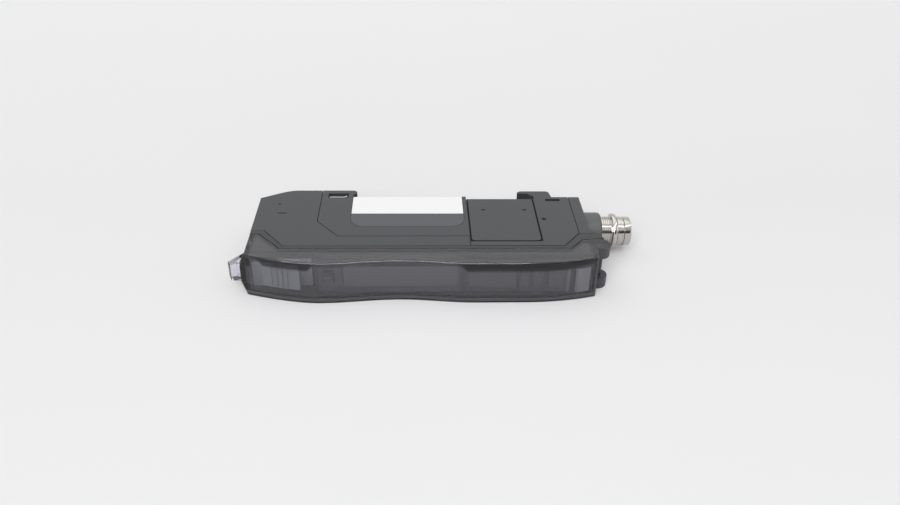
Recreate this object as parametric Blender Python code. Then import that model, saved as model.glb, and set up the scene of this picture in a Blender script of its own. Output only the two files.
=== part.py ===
"""Fibre optic sensor amplifier with a round M8 plug connector, lying on its side as it rests on a bench.

Drawing frame, in millimetres: x runs along the housing from its fibre end to the connector, y runs from the
operating face towards the mounting rail, and z is the thickness of the slim housing, up from the table.
An empty carries the whole model and puts the middle of its footprint on the origin.
"""
import math

import bmesh
import bpy

MM = 0.001

# Housing, seen from its side
THICKNESS = 9.8
CASE_LENGTH = 72.3
CASE_WALL = 1.2
FOOT_Y = 31.0
FOOT_CORNER_X = 6.4
FOOT_CORNER_RADIUS = 8.0
FOOT_EDGE = 0.2
FIBRE_END_Y = 27.4
REAR_EDGE_Y = 27.9
SEAM_Y = 6.8
SEAM_LEFT_X = 7.5
SEAM_RIGHT_X = 66.0
SEAM_END_LEFT = (2.8, 13.1)
SEAM_END_RIGHT = (69.75, 11.8)
CAVITY_REAR_Y = 25.2
ROOF_WALL = 1.5
EJECTOR_MARK = (4.6, 24.6)
EJECTOR_MARK_SIDE = 0.6
EJECTOR_MARK_DEPTH = 0.3
LATCH_SLOT = (4.55, 6.65, 20.3, 20.7)
LATCH_SLOT_DEPTH = 0.5

# Rail notch with its fixed nose and its springy claw
RAIL_NOTCH_LEFT = 20.9
RAIL_NOTCH_WIDTH = 37.4
RAIL_SEAT_Y = 28.1
RAIL_RELIEF_X = 50.0
RAIL_RELIEF_Y = 27.2
NOSE_LENGTH = 0.6
NOSE_SLOPE = 0.2
NOSE_RELIEF = 0.2
NOSE_UNDER_Y = 29.25
CLAW_REACH_Y = 30.7
CLAW_UNDER_Y = 29.6
CLAW_ROOT_LEFT = 61.9
CLAW_ROOT_RIGHT = 66.0
CLAW_THROAT = 1.4
CLAW_TIP_BREAK = 0.6
FLEX_SLOT = (64.45, 67.7, 26.0, 27.0)
FOOT_SLOT = (15.1, 19.65, 27.75, 29.55)

# Side cover let into the housing
LID_THICKNESS = 1.4
LID_LEFT = 13.7
LID_SLOPE_Y = 16.9
LID_FRONT_X = 18.5
LID_FRONT_Y = 10.7
LID_STEP_X = 46.35
LID_RIGHT = 69.75
LEDGE = 1.0
GATE_MARK = (63.0, 17.8)
GATE_MARK_RADIUS = 0.5
GATE_MARK_DEPTH = 0.4

# Bare rating label
LABEL_LEFT = 20.8
LABEL_RIGHT = 45.4
LABEL_FRONT_Y = 14.7
LABEL_REAR_Y = 27.9
LABEL_CORNER = 3.0
LABEL_SHEET = 0.12
LABEL_RECESS = 0.15

# Cover over the expansion connector
DOOR_LEFT = 46.57
DOOR_RIGHT = 61.42
DOOR_FRONT_Y = 8.65
DOOR_REAR_Y = 27.0
DOOR_CORNER = 0.8
DOOR_THICKNESS = 0.65
DOOR_LEG_LENGTH = 1.8
DOOR_LEG = 0.6
DOOR_DOTS = ((49.9, 21.8), (59.1, 21.8))
DOOR_DOT_RADIUS = 0.35
DOOR_DOT_DEPTH = 0.15
DOOR_MARGIN = 0.25

# Smoked dust cover
COVER_SIDE_WALL = 1.0
COVER_FRONT_WALL = 0.8
COVER_LEFT = 0.1
COVER_RIGHT = 72.5
COVER_LEFT_BULGE = 1.2
COVER_BULGE_HEIGHT = 3.0
COVER_EDGE_RADIUS = 0.45
COVER_FOOT_RADIUS = 0.15
CREST_LEFT = 14.8
HOLLOW_X = 31.7
HOLLOW_DEPTH = 1.2
CREST_RIGHT = 47.3
FLAT_END = 57.3
LEFT_DROP = 3.7
RIGHT_DROP = 2.15
SKIRT_LEFT_Y = 11.5
SKIRT_Y = 5.55
SKIRT_SLOPE_LEFT = (1.8, 6.9)
SKIRT_SLOPE_RIGHT = (67.25, 70.1)
SKIRT_RIGHT_Y = 8.9
HINGE = (73.5, 7.2)
EAR_RADIUS = 2.15
EAR_THICKNESS = 2.4
END_WALL_BACK_Y = 4.7
PIN_RADIUS = 0.6
PIN_HOLE_RADIUS = 0.75
PIN_LENGTH = 1.05
ARM_RADIUS = 0.85

# Front frame behind the dust cover
PANEL_Y = 2.8
PANEL_WALL = 1.2
PANEL_TOP_Z = 7.6
PANEL_STEP_DEPTH = 1.3
PANEL_STEP_LEFT = (1.0, 13.4, 15.5)
PANEL_STEP_RIGHT = (43.3, 45.3, 72.0)
SHELF_Y = 5.3
SHELF_END_X = 13.9
NAMEPLATE = ((67.9, 2.8), (68.3, 2.25), (71.2, 3.0))
FRAME_END_X = 71.2
POCKET = (14.8, 66.7, 1.7, 7.3)
LUG_END_X = 74.7

# Fits
PARTING_GAP = 0.12
RUNNING_GAP = 0.15
SEAT_GAP = 0.1

# Keys and their switches
KEY_LOW_Z = 2.5
KEY_HIGH_Z = 6.95
KEY_PROUD = 0.75
KEY_FLANGE = 0.22
KEY_FLANGE_THICKNESS = 0.5
KEY_TRAVEL = 0.25
KEY_CORNER = 0.6
KEYS = {"set": (45.7, 55.7), "up": (56.4, 58.45), "down": (59.15, 61.2), "mode": (62.1, 65.7)}
SWITCH_TOP_Z = 6.4
SWITCH_DEPTH = 2.6
PLUNGER_RADIUS = 0.6
PLUNGER_LENGTH = 0.45

# Output selector
SELECTOR_X = 17.0
SELECTOR_WIDTH = 2.0
SELECTOR_HEIGHT = 1.6
SELECTOR_TRAVEL = 1.2
SELECTOR_LOW_Z = 3.6

# Fibre lock lever
LEVER_LEFT = 3.4
LEVER_RIGHT = 11.2
LEVER_LOW_Z = 2.0
LEVER_HIGH_Z = 7.3
LEVER_TRAVEL = 2.4
LEVER_COVER_GAP = 0.8
LEVER_GRIPS = 4
LEVER_GRIP_PITCH = 1.1
LEVER_GRIP_WIDTH = 0.4
LEVER_GRIP_DEPTH = 0.35
LEVER_BACK_Y = 5.0
LEVER_KEEL = (5.5, 8.0, 3.9, 5.9)
LEVER_KEEL_Y = 6.2

# Display
WINDOW = (20.0, 43.5, 2.4, 7.4)
WINDOW_THICKNESS = 0.5
WINDOW_LEDGE = 0.7
WINDOW_SINK = 0.05
DISPLAY_SPLIT_X = 31.8
DISPLAY_HEIGHT = 3.6
DISPLAY_DEPTH = 2.6
DISPLAY_SET_BACK = 1.3
DISPLAY_MARGIN = 1.0
DISPLAY_SPLIT_GAP = 0.3

# Circuit board and optics
BOARD_Z = 2.2
BOARD_THICKNESS = 1.0
BOARD_EDGE_GAP = 0.4
BOARD_TONGUE = (15.3, 64.8)
BOARD_TONGUE_Y = 5.3
BOSS_RADIUS = 1.2
BOSSES = ((17.0, 14.0), (17.0, 23.0), (44.0, 12.0), (44.0, 23.5), (64.5, 14.5), (64.5, 23.0))
FIBRE_Y = (16.0, 21.0)
AXIS_Z = 4.9
FIBRE_BORE = 1.15
BUSH_RADIUS = 1.6
BUSH_LENGTH = 3.3
BLOCK = (3.7, 13.0, 13.9, 23.6)
BLOCK_TOP_Z = 7.9
DIODE_RADIUS = 1.2
DIODE_SEAT_X = 9.5
SOCKET = (49.6, 58.4, 13.6, 21.6)
SOCKET_TOP_Z = 8.0
SOCKET_WALL = 1.1
SOCKET_DEPTH = 3.4
SOCKET_CONTACTS = 5

# Round connector
CONNECTOR_Y = 20.9
COLLAR_END_X = 76.7
COLLAR_RADIUS = 4.2
STEM_RADIUS = 3.0
SHANK_RADIUS = 3.25
FLANGE_RADIUS = 3.95
FLANGE_START_X = 78.8
FLANGE_END_X = 80.1
TIP_X = 83.3
GROOVE_X = 81.45
GROOVE_WIDTH = 0.5
GROOVE_DEPTH = 0.3
SHELL_BORE = 2.5
INSERT_RADIUS = 2.4
INSERT_END_X = 80.6
CONTACT_RADIUS = 0.45
CONTACT_CIRCLE = 1.4
CONTACT_TIP_X = 82.4
CONTACT_TAIL_X = 69.6

# Indicator lens
LENS_TIP = ((-3.1, 4.0), (-3.8, 5.3))
LENS_BACK_Y = 9.1
LENS_ROOT_X = 1.0
LENS_LOW_Z = 2.4
LENS_HIGH_Z = 7.35
LENS_TAPER_LOW = 0.8
LENS_TAPER_HIGH = 0.5
LENS_WALL = 0.6
LENS_TIP_WALL = 1.0
LENS_NOTCH_Y = 4.4
LED_POCKET = (3.0, 5.8, 8.4, 3.5, 6.3)

# Leaf spring in the foot
SPRING_SHEET = 0.3
SPRING_POINTS = ((8.4, 28.9), (12.5, 28.1), (15.4, 28.05), (18.7, 28.05), (19.3, 28.5))
SPRING_TAB_START = 2
SPRING_Z = (1.6, 8.0)
SPRING_TAB_Z = 9.7

STAND = None


def clear_scene():
    for thing in list(bpy.data.objects):
        bpy.data.objects.remove(thing, do_unlink=True)


def material(name, colour, roughness, metallic=0.0, alpha=1.0):
    made = bpy.data.materials.new(name)
    made.use_nodes = True
    shader = made.node_tree.nodes["Principled BSDF"]
    shader.inputs["Base Color"].default_value = (*colour, 1.0)
    shader.inputs["Roughness"].default_value = roughness
    shader.inputs["Metallic"].default_value = metallic
    shader.inputs["Alpha"].default_value = alpha
    made.diffuse_color = (*colour, alpha)
    return made


def rounded(corners, steps=4):
    """Outline from corners (x, y) or (x, y, radius), with each radius as an arc of a few steps."""
    points = []
    count = len(corners)
    for index, corner in enumerate(corners):
        x, y = corner[:2]
        radius = corner[2] if len(corner) > 2 else 0.0
        if radius <= 0.0:
            points.append((x, y))
            continue
        before = corners[index - 1]
        after = corners[(index + 1) % count]
        u = (before[0] - x, before[1] - y)
        v = (after[0] - x, after[1] - y)
        lu, lv = math.hypot(*u), math.hypot(*v)
        u = (u[0] / lu, u[1] / lu)
        v = (v[0] / lv, v[1] / lv)
        half = math.acos(max(-1.0, min(1.0, u[0] * v[0] + u[1] * v[1]))) / 2
        reach = min(radius / math.tan(half), 0.48 * lu, 0.48 * lv)
        radius = reach * math.tan(half)
        middle = (u[0] + v[0], u[1] + v[1])
        scale = radius / math.sin(half) / math.hypot(*middle)
        cx, cy = x + middle[0] * scale, y + middle[1] * scale
        start = math.atan2(y + u[1] * reach - cy, x + u[0] * reach - cx)
        turn = math.atan2(y + v[1] * reach - cy, x + v[0] * reach - cx) - start
        turn = (turn + math.pi) % (2 * math.pi) - math.pi
        for step in range(steps + 1):
            angle = start + turn * step / steps
            points.append((cx + radius * math.cos(angle), cy + radius * math.sin(angle)))
    return points


def box_corners(x0, x1, y0, y1, radius=0.0):
    return [(x0, y0, radius), (x1, y0, radius), (x1, y1, radius), (x0, y1, radius)]


def shifted(path, distance, closed=False):
    """Path moved sideways to its left by a distance, with its corners mitred."""
    count = len(path)
    moved = []
    for index, (x, y) in enumerate(path):
        normals = []
        for first, second in ((index - 1, index), (index, index + 1)):
            if not closed and (first < 0 or second >= count):
                continue
            ax, ay = path[first % count]
            bx, by = path[second % count]
            length = math.hypot(bx - ax, by - ay)
            if length > 1e-9:
                normals.append(((ay - by) / length, (bx - ax) / length))
        nx = sum(n[0] for n in normals) / len(normals)
        ny = sum(n[1] for n in normals) / len(normals)
        square = nx * nx + ny * ny
        moved.append((x + distance * nx / square, y + distance * ny / square))
    return moved


def inset(outline, distance):
    """Counter-clockwise outline drawn in by a distance."""
    return shifted(outline, distance, closed=True)


def new_object(name, mesh, finish, origin=(0.0, 0.0, 0.0)):
    """Object of a mesh drawn in millimetres, with its own origin at a point of the drawing."""
    for vertex in mesh.vertices:
        vertex.co = [(value - middle) * MM for value, middle in zip(vertex.co, origin)]
    thing = bpy.data.objects.new(name, mesh)
    bpy.context.scene.collection.objects.link(thing)
    thing.location = [value * MM for value in origin]
    thing.parent = STAND
    if finish is None:
        thing.hide_render = True
        thing.display_type = "WIRE"
    else:
        mesh.materials.append(finish)
    return thing


def finish_mesh(name, bm):
    bmesh.ops.recalc_face_normals(bm, faces=bm.faces)
    mesh = bpy.data.meshes.new(name)
    bm.to_mesh(mesh)
    bm.free()
    return mesh


def stack(name, levels, finish, axis="Z", origin=(0.0, 0.0, 0.0)):
    """Closed solid through a pile of outlines with equal numbers of points, each at its height on the axis.

    A height may be a function of the outline's point, for a sloping face.
    """
    bm = bmesh.new()
    rings = []
    for outline, height in levels:
        ring = []
        for a, b in outline:
            h = height(a, b) if callable(height) else height
            ring.append(bm.verts.new((a, b, h) if axis == "Z" else (a, h, b) if axis == "Y" else (h, a, b)))
        rings.append(ring)
    for low, high in zip(rings, rings[1:]):
        for index in range(len(low)):
            after = (index + 1) % len(low)
            bm.faces.new((low[index], low[after], high[after], high[index]))
    bm.faces.new(list(reversed(rings[0])))
    bm.faces.new(rings[-1])
    return new_object(name, finish_mesh(name, bm), finish, origin)


def plate(name, outline, low, high, finish, axis="Z", edge_low=0.0, edge_high=0.0, origin=(0.0, 0.0, 0.0)):
    """Flat plate with an outline and, where asked for, a small chamfer round either face."""
    levels = []
    if edge_low:
        levels.append((inset(outline, edge_low), low))
    levels.append((outline, low + edge_low))
    levels.append((outline, high - edge_high))
    if edge_high:
        levels.append((inset(outline, edge_high), high))
    return stack(name, levels, finish, axis, origin)


def block(name, x0, x1, y0, y1, z0, z1, finish, edge=0.0):
    """Upright block with its own origin in its middle, and its edges broken by a Bevel modifier."""
    middle = ((x0 + x1) / 2, (y0 + y1) / 2, (z0 + z1) / 2)
    thing = plate(name, rounded(box_corners(x0, x1, y0, y1)), z0, z1, finish, origin=middle)
    if edge:
        bevel = thing.modifiers.new("Edges", "BEVEL")
        bevel.width = edge * MM
        bevel.segments = 1
        bevel.limit_method = "ANGLE"
    return thing


def circle(cx, cy, radius, count=20):
    return [(cx + radius * math.cos(2 * math.pi * k / count), cy + radius * math.sin(2 * math.pi * k / count))
            for k in range(count)]


def rod(name, a, b, radius, low, high, finish, axis="Z", count=20):
    """Round bar along an axis, where a and b are its centre in the other two directions."""
    return plate(name, circle(a, b, radius, count), low, high, finish, axis)


def turned(name, profile, centre_y, centre_z, finish, steps=32):
    """Solid of revolution about a line along x, from a closed profile of (x, radius) points."""
    bm = bmesh.new()
    chain = [bm.verts.new((x, centre_y + radius, centre_z)) for x, radius in profile]
    edges = [bm.edges.new((chain[k], chain[(k + 1) % len(chain)])) for k in range(len(chain))]
    bmesh.ops.spin(bm, geom=chain + edges, cent=(0.0, centre_y, centre_z), axis=(1.0, 0.0, 0.0),
                   angle=2 * math.pi, steps=steps, use_merge=True)
    bmesh.ops.remove_doubles(bm, verts=bm.verts, dist=1e-4)
    thing = new_object(name, finish_mesh(name, bm), finish, (profile[0][0], centre_y, centre_z))
    if finish is not None:
        thing.data.shade_smooth()
        thing.data.set_sharp_from_angle(angle=math.radians(35))
    return thing


def combine(target, others, operation):
    for other in others:
        step = target.modifiers.new(operation.title() + " " + other.name, "BOOLEAN")
        step.operation = operation
        step.object = other
        step.solver = "EXACT"


def cut(target, *cutters):
    combine(target, cutters, "DIFFERENCE")


def join(target, *additions):
    combine(target, additions, "UNION")


def cutter_box(name, x0, x1, y0, y1, z0, z1):
    return block(name, x0, x1, y0, y1, z0, z1, None)


def seam_path():
    """Parting line between housing and front frame, from the fibre end to the connector end."""
    return [(0.0, SEAM_END_LEFT[1] - 0.15), SEAM_END_LEFT, (SEAM_LEFT_X, SEAM_Y), (SEAM_RIGHT_X, SEAM_Y),
            SEAM_END_RIGHT, (CASE_LENGTH, SEAM_END_RIGHT[1] - 0.1)]


def rail_side():
    """Rear edge from the connector end to the fixed foot: claw, rail notch and nose."""
    notch_right = RAIL_NOTCH_LEFT + RAIL_NOTCH_WIDTH
    corner = RAIL_NOTCH_LEFT + NOSE_LENGTH + PARTING_GAP
    return [(CLAW_ROOT_RIGHT, REAR_EDGE_Y), (CLAW_ROOT_RIGHT - 0.4, CLAW_REACH_Y - 0.4),
            (CLAW_ROOT_RIGHT - 0.9, CLAW_REACH_Y), (notch_right + 0.7, CLAW_REACH_Y),
            (notch_right, CLAW_REACH_Y - CLAW_TIP_BREAK), (notch_right, CLAW_UNDER_Y),
            (CLAW_ROOT_LEFT - CLAW_THROAT, CLAW_UNDER_Y),
            (CLAW_ROOT_LEFT, CLAW_UNDER_Y - CLAW_THROAT), (CLAW_ROOT_LEFT, RAIL_RELIEF_Y),
            (RAIL_RELIEF_X, RAIL_RELIEF_Y), (RAIL_RELIEF_X - 0.4, RAIL_SEAT_Y), (corner, RAIL_SEAT_Y),
            (corner, RAIL_SEAT_Y - NOSE_RELIEF), (RAIL_NOTCH_LEFT, RAIL_SEAT_Y - NOSE_RELIEF),
            (RAIL_NOTCH_LEFT, NOSE_UNDER_Y), (RAIL_NOTCH_LEFT + NOSE_LENGTH, NOSE_UNDER_Y + NOSE_SLOPE),
            (RAIL_NOTCH_LEFT + NOSE_LENGTH, FOOT_Y - 0.5), (RAIL_NOTCH_LEFT - 0.1, FOOT_Y)]


def skirt_path():
    """Rear edge of the dust cover's sides, from the fibre end to the hinge ears."""
    return [(0.0, SKIRT_LEFT_Y), (SKIRT_SLOPE_LEFT[0], SKIRT_LEFT_Y), (SKIRT_SLOPE_LEFT[1], SKIRT_Y),
            (SKIRT_SLOPE_RIGHT[0], SKIRT_Y), (SKIRT_SLOPE_RIGHT[1], SKIRT_RIGHT_Y),
            (HINGE[0], HINGE[1] + EAR_RADIUS)]


def front_line(x):
    """Wavy operating face of the dust cover: two crests, a finger hollow between them and both ends swept back."""
    if x < CREST_LEFT:
        return LEFT_DROP * ((CREST_LEFT - x) / (CREST_LEFT - COVER_LEFT + 1.0)) ** 1.6
    if x < HOLLOW_X:
        return HOLLOW_DEPTH * (1 - math.cos(math.pi * (x - CREST_LEFT) / (HOLLOW_X - CREST_LEFT))) / 2
    if x < CREST_RIGHT:
        return HOLLOW_DEPTH * (1 + math.cos(math.pi * (x - HOLLOW_X) / (CREST_RIGHT - HOLLOW_X))) / 2
    if x < FLAT_END:
        return 0.0
    return RIGHT_DROP * ((x - FLAT_END) / (COVER_RIGHT - FLAT_END)) ** 2.1


def front_points(left, right, inward, count=40):
    points = []
    for k in range(count + 1):
        x = left + (right - left) * k / count
        points.append((x, front_line(x) + inward))
    return points


def make_main_case(finish):
    outline = seam_path() + [(CASE_LENGTH, REAR_EDGE_Y)] + rail_side()
    outline += [(FOOT_CORNER_X, FOOT_Y, FOOT_CORNER_RADIUS), (0.0, FIBRE_END_Y)]
    case = plate("main_case", rounded(outline, 6), 0.0, THICKNESS, finish, edge_low=FOOT_EDGE)
    seat_z = THICKNESS - LID_THICKNESS
    beyond = FOOT_Y + 2.0
    lid_seat = [(LID_STEP_X - PARTING_GAP, SEAM_Y - 2.0), (LID_RIGHT + PARTING_GAP, SEAM_Y - 2.0),
                (LID_RIGHT + PARTING_GAP, beyond), (LID_LEFT - PARTING_GAP, beyond),
                (LID_LEFT - PARTING_GAP, LID_SLOPE_Y - PARTING_GAP / 2),
                (LID_FRONT_X - PARTING_GAP / 2, LID_FRONT_Y - PARTING_GAP),
                (LID_STEP_X - PARTING_GAP, LID_FRONT_Y - PARTING_GAP)]
    inner = shifted(seam_path(), CASE_WALL)
    front = [(CASE_WALL, inner[0][1])] + inner[1:-1] + [(CASE_LENGTH - CASE_WALL, inner[-1][1])]
    foot = [(FOOT_SLOT[1], CAVITY_REAR_Y), (FOOT_SLOT[1], FOOT_Y - CASE_WALL)]
    cavity = front + [(CASE_LENGTH - CASE_WALL, CAVITY_REAR_Y)] + foot
    cavity += [(FOOT_CORNER_X + 0.7, FOOT_Y - CASE_WALL), (CASE_WALL, FIBRE_END_Y - 1.0)]
    mouth = [(LID_STEP_X + LEDGE, SEAM_Y + CASE_WALL + 0.2), (SEAM_RIGHT_X - 0.8, SEAM_Y + CASE_WALL + 0.2),
             (LID_RIGHT - LEDGE - 0.2, SEAM_END_RIGHT[1] + 0.8), (LID_RIGHT - LEDGE - 0.2, CAVITY_REAR_Y - 0.01),
             (FOOT_SLOT[1] - 0.01, CAVITY_REAR_Y - 0.01), (FOOT_SLOT[1] - 0.01, FOOT_Y - CASE_WALL - 0.01),
             (LID_LEFT + LEDGE + 0.2, FOOT_Y - CASE_WALL - 0.01), (LID_LEFT + LEDGE + 0.2, LID_SLOPE_Y + 0.4),
             (LID_FRONT_X + 0.6, LID_FRONT_Y + LEDGE), (LID_STEP_X + LEDGE, LID_FRONT_Y + LEDGE)]
    cut(case,
        plate("cut_cavity", cavity, CASE_WALL, THICKNESS - ROOF_WALL, None),
        plate("cut_lid_seat", lid_seat, seat_z, THICKNESS + 1.0, None),
        plate("cut_mouth", mouth, AXIS_Z, seat_z + 0.5, None),
        cutter_box("cut_front_opening", POCKET[0], BOARD_TONGUE[1] + 0.6, SEAM_Y - 1.0, SEAM_Y + CASE_WALL + 1.0,
                   POCKET[2], POCKET[3]),
        cutter_box("cut_case_flexure", *FLEX_SLOT, -1.0, THICKNESS + 1.0),
        rod("cut_connector_hole", CONNECTOR_Y, AXIS_Z, STEM_RADIUS + PARTING_GAP, CASE_LENGTH - CASE_WALL - 1.0,
            CASE_LENGTH + 1.0, None, axis="X", count=32),
        rod("cut_ejector_mark", *EJECTOR_MARK, EJECTOR_MARK_SIDE / 2, THICKNESS - EJECTOR_MARK_DEPTH,
            THICKNESS + 1.0, None, count=12),
        cutter_box("cut_latch_slot", *LATCH_SLOT, THICKNESS - LATCH_SLOT_DEPTH, THICKNESS + 1.0))
    for index, y in enumerate(FIBRE_Y):
        cut(case, rod("cut_fibre_port_%d" % (index + 1), y, AXIS_Z, BUSH_RADIUS + PARTING_GAP / 2, -1.0,
                      CASE_WALL + 1.0, None, axis="X", count=20))
    for index, (x, y) in enumerate(BOSSES):
        join(case, rod("add_boss_%d" % (index + 1), x, y, BOSS_RADIUS, CASE_WALL - 0.4, BOARD_Z - SEAT_GAP, None,
                       count=12))
    return case


def make_side_cover(finish):
    base = THICKNESS - LID_THICKNESS + SEAT_GAP / 2
    door_floor = THICKNESS - DOOR_THICKNESS - SEAT_GAP / 2
    outline = [(LID_LEFT, LID_SLOPE_Y), (LID_FRONT_X, LID_FRONT_Y), (LID_STEP_X, LID_FRONT_Y),
               (LID_STEP_X, SEAM_Y + 0.02), (SEAM_RIGHT_X, SEAM_Y + 0.02), (LID_RIGHT, SEAM_END_RIGHT[1] + 0.02),
               (LID_RIGHT, REAR_EDGE_Y)] + rail_side() + [(LID_LEFT, FOOT_Y)]
    lid = plate("side_cover", outline, base, THICKNESS, finish)
    recess = box_corners(DOOR_LEFT - DOOR_MARGIN, DOOR_RIGHT + DOOR_MARGIN, DOOR_FRONT_Y - DOOR_MARGIN,
                         RAIL_SEAT_Y + 0.2)
    leg_room = DOOR_LEG + 0.9
    label = [(LABEL_LEFT - 0.1, LABEL_FRONT_Y - 0.1, LABEL_CORNER), (LABEL_RIGHT + 0.1, LABEL_FRONT_Y - 0.1,
             LABEL_CORNER), (LABEL_RIGHT + 0.1, RAIL_SEAT_Y + 0.5), (LABEL_LEFT - 0.1, RAIL_SEAT_Y + 0.5)]
    cut(lid,
        plate("cut_door_recess", rounded(recess), door_floor, THICKNESS + 1.0, None),
        cutter_box("cut_socket_access", SOCKET[0] - leg_room, SOCKET[1] + leg_room, SOCKET[2] - 2.0,
                   SOCKET[3] + 2.0, base - 1.0, door_floor + 1.0),
        plate("cut_label_recess", rounded(label), THICKNESS - LABEL_RECESS, THICKNESS + 1.0, None),
        cutter_box("cut_foot_slot", *FOOT_SLOT, base - 1.0, THICKNESS + 1.0),
        cutter_box("cut_lid_flexure", *FLEX_SLOT, base - 1.0, THICKNESS + 1.0),
        rod("cut_gate_dimple", *GATE_MARK, GATE_MARK_RADIUS, THICKNESS - GATE_MARK_DEPTH, THICKNESS + 1.0, None,
            count=16))
    return lid


def make_rating_label(finish):
    corners = [(LABEL_LEFT, LABEL_FRONT_Y, LABEL_CORNER), (LABEL_RIGHT, LABEL_FRONT_Y, LABEL_CORNER),
               (LABEL_RIGHT, LABEL_REAR_Y, 0.3), (LABEL_LEFT, LABEL_REAR_Y, 0.3)]
    base = THICKNESS - LABEL_RECESS + 0.02
    return plate("rating_label", rounded(corners, 6), base, base + LABEL_SHEET, finish)


def make_expansion_cover(finish):
    base = THICKNESS - DOOR_THICKNESS
    outline = rounded([(DOOR_LEFT, DOOR_FRONT_Y, DOOR_CORNER), (DOOR_RIGHT, DOOR_FRONT_Y, DOOR_CORNER),
                       (DOOR_RIGHT, DOOR_REAR_Y), (DOOR_LEFT, DOOR_REAR_Y)])
    middle = ((DOOR_LEFT + DOOR_RIGHT) / 2, (DOOR_FRONT_Y + DOOR_REAR_Y) / 2, base)
    door = plate("expansion_cover", outline, base, THICKNESS, finish, edge_high=0.08, origin=middle)
    for side, x in (("left", SOCKET[0] - 0.7 - DOOR_LEG), ("right", SOCKET[1] + 0.7)):
        join(door, cutter_box("add_leg_" + side, x, x + DOOR_LEG, SOCKET[2] + 2.0, SOCKET[3] - 2.0,
                              base - DOOR_LEG_LENGTH, base + 0.2))
    for index, (x, y) in enumerate(DOOR_DOTS):
        cut(door, rod("cut_door_dot_%d" % (index + 1), x, y, DOOR_DOT_RADIUS, THICKNESS - DOOR_DOT_DEPTH,
                      THICKNESS + 1.0, None, count=12))
    return door


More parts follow.
